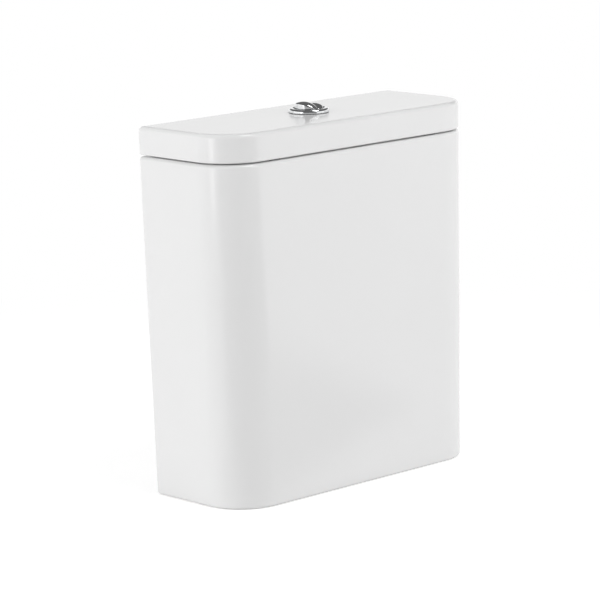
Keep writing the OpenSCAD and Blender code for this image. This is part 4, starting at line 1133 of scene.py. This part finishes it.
def bump(tree, height, depth):
    return add(tree, "ShaderNodeBump", {"Strength": 1.0, "Distance": depth * MM, "Height": height})


def moulded(slot, rgb, tone, rough, grain):
    """Moulded plastic or rubber: cloudy flow tone, uneven gloss and a fine grain"""
    tree, place, shader = new_finish(slot, rgb)
    flow = mottle(tree, place, 28.0, 4.0)
    feed(tree, shader, {
        "Base Color": blend_colours(tree, flow, shade(rgb, 1 - tone), shade(rgb, 1 + tone)),
        "Roughness": blend_values(tree, flow, *rough),
        "Normal": bump(tree, mottle(tree, place, 1600.0, 2.0), grain)})


def metal(slot, rgb, tone, rough, stretch, tint=None):
    """Drawn or plated metal: fine lines and a cloudy tone"""
    tree, place, shader = new_finish(slot, rgb, Metallic=1.0)
    lines = effect(tree, "cistern_drawn_lines", place, Scale=1400.0, Stretch=stretch)
    cloud = mottle(tree, place, 120.0, contrast=2.5)
    light = (*tint, 1) if tint else shade(rgb, 1 + tone)
    both = maths(tree, "MULTIPLY_ADD", lines, 0.5, maths(tree, "MULTIPLY", cloud, 0.5))
    feed(tree, shader, {
        "Base Color": blend_colours(tree, cloud, shade(rgb, 1 - tone), light),
        "Roughness": blend_values(tree, both, *rough), "Normal": bump(tree, lines, 0.01)})


def china_finish(finish):
    """Glazed china: clear gloss with slow waves, and bare clay where it isn't glazed"""
    tree, place, shader = new_finish("china", finish.china, IOR=1.5)
    glazed = add(tree, "ShaderNodeAttribute", attribute_name="glazed").outputs["Fac"]
    wobble = maths(tree, "SUBTRACT", mottle(tree, place, 55.0, 1.0), 0.5)
    edge = ramp(tree, maths(tree, "MULTIPLY_ADD", wobble, 0.5, glazed), 0.3, 0.5)
    tone = mottle(tree, place, 9.0, 2.0)
    glaze = blend_colours(tree, tone, shade(finish.china, 0.992), shade(finish.china, 1.006))
    grit = mottle(tree, place, 900.0, 4.0, 2.2)
    clay = blend_colours(tree, grit, shade(finish.bisque, 0.86), shade(finish.bisque, 1.05))
    peel = mottle(tree, place, 130.0, 1.0, 1.0)
    waves = maths(tree, "MULTIPLY_ADD", peel, 0.05, mottle(tree, place, 16.0, 1.0, 1.0))
    height = blend_values(tree, edge, maths(tree, "MULTIPLY", grit, 0.6), waves)
    feed(tree, shader, {
        "Base Color": blend_colours(tree, edge, clay, glaze),
        "Roughness": blend_values(tree, edge, 0.75, blend_values(tree, tone, 0.15, 0.18)),
        "Normal": bump(tree, height, 0.10)})


def chrome_finish(finish):
    """Bright plating with faint wiping marks and hairline scratches"""
    tree, place, shader = new_finish("chrome", finish.chrome, Metallic=1.0)
    marks = mottle(tree, place, 140.0, 3.0, 2.0)
    hairs = effect(tree, "cistern_hairlines", place, Scale=90.0, Width=0.004)
    feed(tree, shader, {
        "Base Color": blend_colours(tree, marks, shade(finish.chrome, 0.97), shade(finish.chrome, 1.01)),
        "Roughness": maths(tree, "MULTIPLY_ADD", hairs, 0.08, blend_values(tree, marks, 0.03, 0.075)),
        "Normal": bump(tree, maths(tree, "MULTIPLY", hairs, -1.0), 0.004)})


def foam_finish(finish):
    """Closed-cell foam: small cells, with painted shade in the pits of the pores"""
    tree, place, shader = new_finish("foam", finish.foam)
    pores = effect(tree, "cistern_pores", place, Scale=620.0, Depth=0.55).outputs
    cloud = mottle(tree, place, 40.0, 4.0)
    base = blend_colours(tree, cloud, shade(finish.foam, 0.93), shade(finish.foam, 1.04))
    # Painted shade: the colour is darkened in the pits of the pores, where the bump sinks them
    dark = maths(tree, "MULTIPLY", pores["Mask"], 0.35)
    feed(tree, shader, {
        "Base Color": blend_colours(tree, dark, base, shade(finish.foam, 0.55)),
        "Roughness": blend_values(tree, cloud, 0.7, 0.9), "Normal": bump(tree, pores["Height"], 0.25)})


class CISTERN_OT_finishes(bpy.types.Operator):
    """Make the materials and the geometry node trees"""
    bl_idname = "cistern.finishes"
    bl_label = "Finishes"

    def execute(self, context):
        finish = context.scene.cistern_finish
        effect_groups()
        turning_tree()
        coil_tree()
        china_finish(finish)
        chrome_finish(finish)
        foam_finish(finish)
        for slot, *look in (("white_plastic", 0.03, (0.28, 0.40), 0.02),
                            ("clear_grey_plastic", 0.04, (0.16, 0.26), 0.01),
                            ("blue_plastic", 0.08, (0.28, 0.42), 0.02),
                            ("grey_plastic", 0.06, (0.30, 0.45), 0.02),
                            ("black_rubber", 0.30, (0.55, 0.8), 0.05),
                            ("grey_rubber", 0.15, (0.55, 0.8), 0.05),
                            ("red_silicone", 0.12, (0.35, 0.5), 0.02)):
            moulded(slot, getattr(finish, slot), *look)
        for slot, *look in (("spring_steel", 0.10, (0.12, 0.25), (0.2, 0.2, 1.0)),
                            ("zinc_steel", 0.06, (0.22, 0.38), (1.0, 1.0, 0.05), (0.66, 0.64, 0.56)),
                            ("brass", 0.10, (0.2, 0.35), (1.0, 1.0, 0.05))):
            metal(slot, getattr(finish, slot), *look)
        return {"FINISHED"}


# Studio

def bearing(tree, vector):
    """Azimuth from the X axis and elevation of a direction, both in degrees"""
    sums = partial(maths, tree)
    x, y, z = add(tree, "ShaderNodeSeparateXYZ", {0: vector}).outputs
    flat = sums("SQRT", sums("ADD", sums("POWER", x, 2.0), sums("POWER", y, 2.0)))
    return [sums("MULTIPLY", sums("ARCTAN2", *pair), 180 / pi) for pair in ((y, x), (z, flat))]


def window(tree, angle, middle, half, soft):
    """1 within half of the middle, falling smoothly to 0 over soft, all in degrees round the circle"""
    turn = maths(tree, "WRAP", maths(tree, "SUBTRACT", angle, middle), 180.0, -180.0)
    return ramp(tree, maths(tree, "ABSOLUTE", turn), half - soft / 2, half + soft / 2, 1.0, 0.0)


def glow(tree, level):
    return add(tree, "ShaderNodeEmission", {"Color": (1, 1, 1, 1), "Strength": level})


def floor_finish(finish):
    """Pale floor that keeps the shadow near the object; further off camera, gloss and glass see it white.
    Gloss also sees a painted shadow on it: a dark wedge in front of the object.
    """
    material = bpy.data.materials.new("studio_floor")
    tree = empty_tree(material)
    place = add(tree, "ShaderNodeTexCoord").outputs["Object"]
    paper = add(tree, "ShaderNodeBsdfDiffuse", {"Color": blend_colours(
        tree, mottle(tree, place, 1.5, 2.0), shade(finish.floor, 0.995), shade(finish.floor, 1.005))})
    path = add(tree, "ShaderNodeLightPath").outputs
    seen = maths(tree, "MAXIMUM", maths(tree, "MAXIMUM", path["Is Camera Ray"], path["Is Glossy Ray"]),
                 path["Is Transmission Ray"])
    lift = glow(tree, maths(tree, "MULTIPLY", seen, FLOOR_LIFT))
    near = add(tree, "ShaderNodeAddShader", {0: paper, 1: lift})
    away = add(tree, "ShaderNodeVectorMath", {0: place}, operation="LENGTH").outputs["Value"]
    far = maths(tree, "MULTIPLY", ramp(tree, away, 0.35, 1.1), seen)
    both = add(tree, "ShaderNodeMixShader", {0: far, 1: near, 2: glow(tree, seen)})
    # Painted shadow: in a wedge in front of the object, gloss sees the floor as dark as the studio, as if
    # the object shaded it
    dark = path["Is Glossy Ray"]
    for azimuth, distance, soft in PAINTED_FLOOR_SHADOW:
        across = (cos(radians(azimuth)), sin(radians(azimuth)), 0)
        reach = add(tree, "ShaderNodeVectorMath", {0: place, 1: across}, operation="DOT_PRODUCT")
        inside = ramp(tree, reach.outputs["Value"], distance - soft, distance + soft, 1.0, 0.0)
        dark = maths(tree, "MULTIPLY", dark, inside)
    add(tree, "ShaderNodeOutputMaterial", {
        "Surface": add(tree, "ShaderNodeMixShader", {0: dark, 1: both, 2: glow(tree, DARK_STUDIO)})})
    return material


def studio_world(studio):
    """White for the camera; gloss sees a backdrop and two cards, with a dark ceiling and camera side"""
    world = bpy.data.worlds.new("studio")
    bpy.context.scene.world = world
    tree = empty_tree(world)
    sums = partial(maths, tree)
    azimuth, elevation = bearing(tree, add(tree, "ShaderNodeTexCoord").outputs["Generated"])
    path = add(tree, "ShaderNodeLightPath").outputs
    low = window(tree, elevation, -90, 90 + BACKDROP_TOP, 8)
    aside = sums("SUBTRACT", 1.0, window(tree, azimuth, CAMERA_SIDE, CAMERA_GAP, 6))
    reflected = sums("MULTIPLY", sums("MULTIPLY", low, aside), BACKDROP)
    for middle, half, high, level in CARDS:
        card = sums("MULTIPLY", window(tree, azimuth, middle, half, 6),
                    window(tree, elevation, -90, 90 + high, 4))
        reflected = sums("MAXIMUM", reflected, sums("MULTIPLY", card, level))
    seen = sums("MAXIMUM", path["Is Glossy Ray"], path["Is Transmission Ray"])
    level = blend_values(tree, seen, studio.ambient, sums("ADD", reflected, DARK_STUDIO))
    back = add(tree, "ShaderNodeBackground", {
        "Color": (1, 1, 1, 1), "Strength": blend_values(tree, path["Is Camera Ray"], level, 1.0)})
    add(tree, "ShaderNodeOutputWorld", {"Surface": back})


def lamp(name, watts):
    """One of the rectangular lamps, looking at its target"""
    azimuth, elevation, distance, width, height, unseen_by, target = LAMPS[name]
    light = bpy.data.lights.new(name, "AREA")
    light.shape = "RECTANGLE"
    light.size, light.size_y, light.energy = width, height, watts
    piece = bpy.data.objects.new(name, light)
    bpy.context.scene.collection.objects.link(piece)
    turn, rise = radians(azimuth), radians(elevation)
    way = Vector((cos(turn) * cos(rise), sin(turn) * cos(rise), sin(rise)))
    piece.location = Vector(target) + way * distance
    piece.rotation_euler = way.to_track_quat("Z", "Y").to_euler()
    setattr(piece, "visible_" + unseen_by, False)


class CISTERN_OT_stage(bpy.types.Operator):
    """Set up the floor, the lamps and the camera"""
    bl_idname = "cistern.stage"
    bl_label = "Stage"

    def execute(self, context):
        scene, studio = context.scene, context.scene.cistern_studio
        mesh = bpy.data.meshes.new("floor")
        reach = 12.0
        mesh.from_pydata([(-reach, -reach, 0), (reach, -reach, 0), (reach, reach, 0), (-reach, reach, 0)],
                         [], [(0, 1, 2, 3)])
        mesh.materials.append(floor_finish(scene.cistern_finish))
        new_piece("studio_floor", mesh)
        studio_world(studio)
        for name in LAMPS:
            lamp(name, getattr(studio, name))

        camera = bpy.data.cameras.new("camera")
        camera.sensor_width, camera.lens = 36, studio.lens
        camera.dof.use_dof = False
        camera.clip_end = 50
        seat = bpy.data.objects.new("camera", camera)
        scene.collection.objects.link(seat)
        right, up = Vector(studio.camera_right).normalized(), Vector(studio.camera_up).normalized()
        back = right.cross(up)
        turn = Matrix((right, up, back)).transposed().to_4x4()
        seat.matrix_world = Matrix.Translation(Vector(studio.camera_at)) @ turn
        scene.camera = seat
        scene.view_settings.view_transform = "Standard"
        return {"FINISHED"}


# Panel and start

class CISTERN_PT_panel(bpy.types.Panel):
    """Sizes, colours and the operators that build the cistern"""
    bl_idname = "CISTERN_PT_panel"
    bl_label = "Toilet cistern"
    bl_space_type = "VIEW_3D"
    bl_region_type = "UI"
    bl_category = "Cistern"

    def draw(self, context):
        layout = self.layout
        for name in GROUPS:
            box = layout.box()
            for key in getattr(context.scene, name).__annotations__:
                box.prop(getattr(context.scene, name), key)
        for operator in OPERATORS:
            layout.operator(operator.bl_idname)


GROUPS = {"cistern_china": CisternChina, "cistern_button": CisternButton, "cistern_valves": CisternValves,
          "cistern_finish": CisternFinish, "cistern_studio": CisternStudio}
OPERATORS = (CISTERN_OT_finishes, CISTERN_OT_stage, CISTERN_OT_tank, CISTERN_OT_lid, CISTERN_OT_button,
             CISTERN_OT_flush_valve, CISTERN_OT_fill_valve, CISTERN_OT_fixings)


def register():
    for group in GROUPS.values():
        bpy.utils.register_class(group)
    for name, group in GROUPS.items():
        setattr(bpy.types.Scene, name, bpy.props.PointerProperty(type=group))
    for operator in OPERATORS:
        bpy.utils.register_class(operator)
    bpy.utils.register_class(CISTERN_PT_panel)


def unregister():
    bpy.utils.unregister_class(CISTERN_PT_panel)
    for operator in reversed(OPERATORS):
        bpy.utils.unregister_class(operator)
    for name, group in GROUPS.items():
        delattr(bpy.types.Scene, name)
        bpy.utils.unregister_class(group)


def main():
    """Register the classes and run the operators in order"""
    register()
    for operator in OPERATORS:
        family, name = operator.bl_idname.split(".")
        getattr(getattr(bpy.ops, family), name)()


if __name__ == "__main__":
    main()
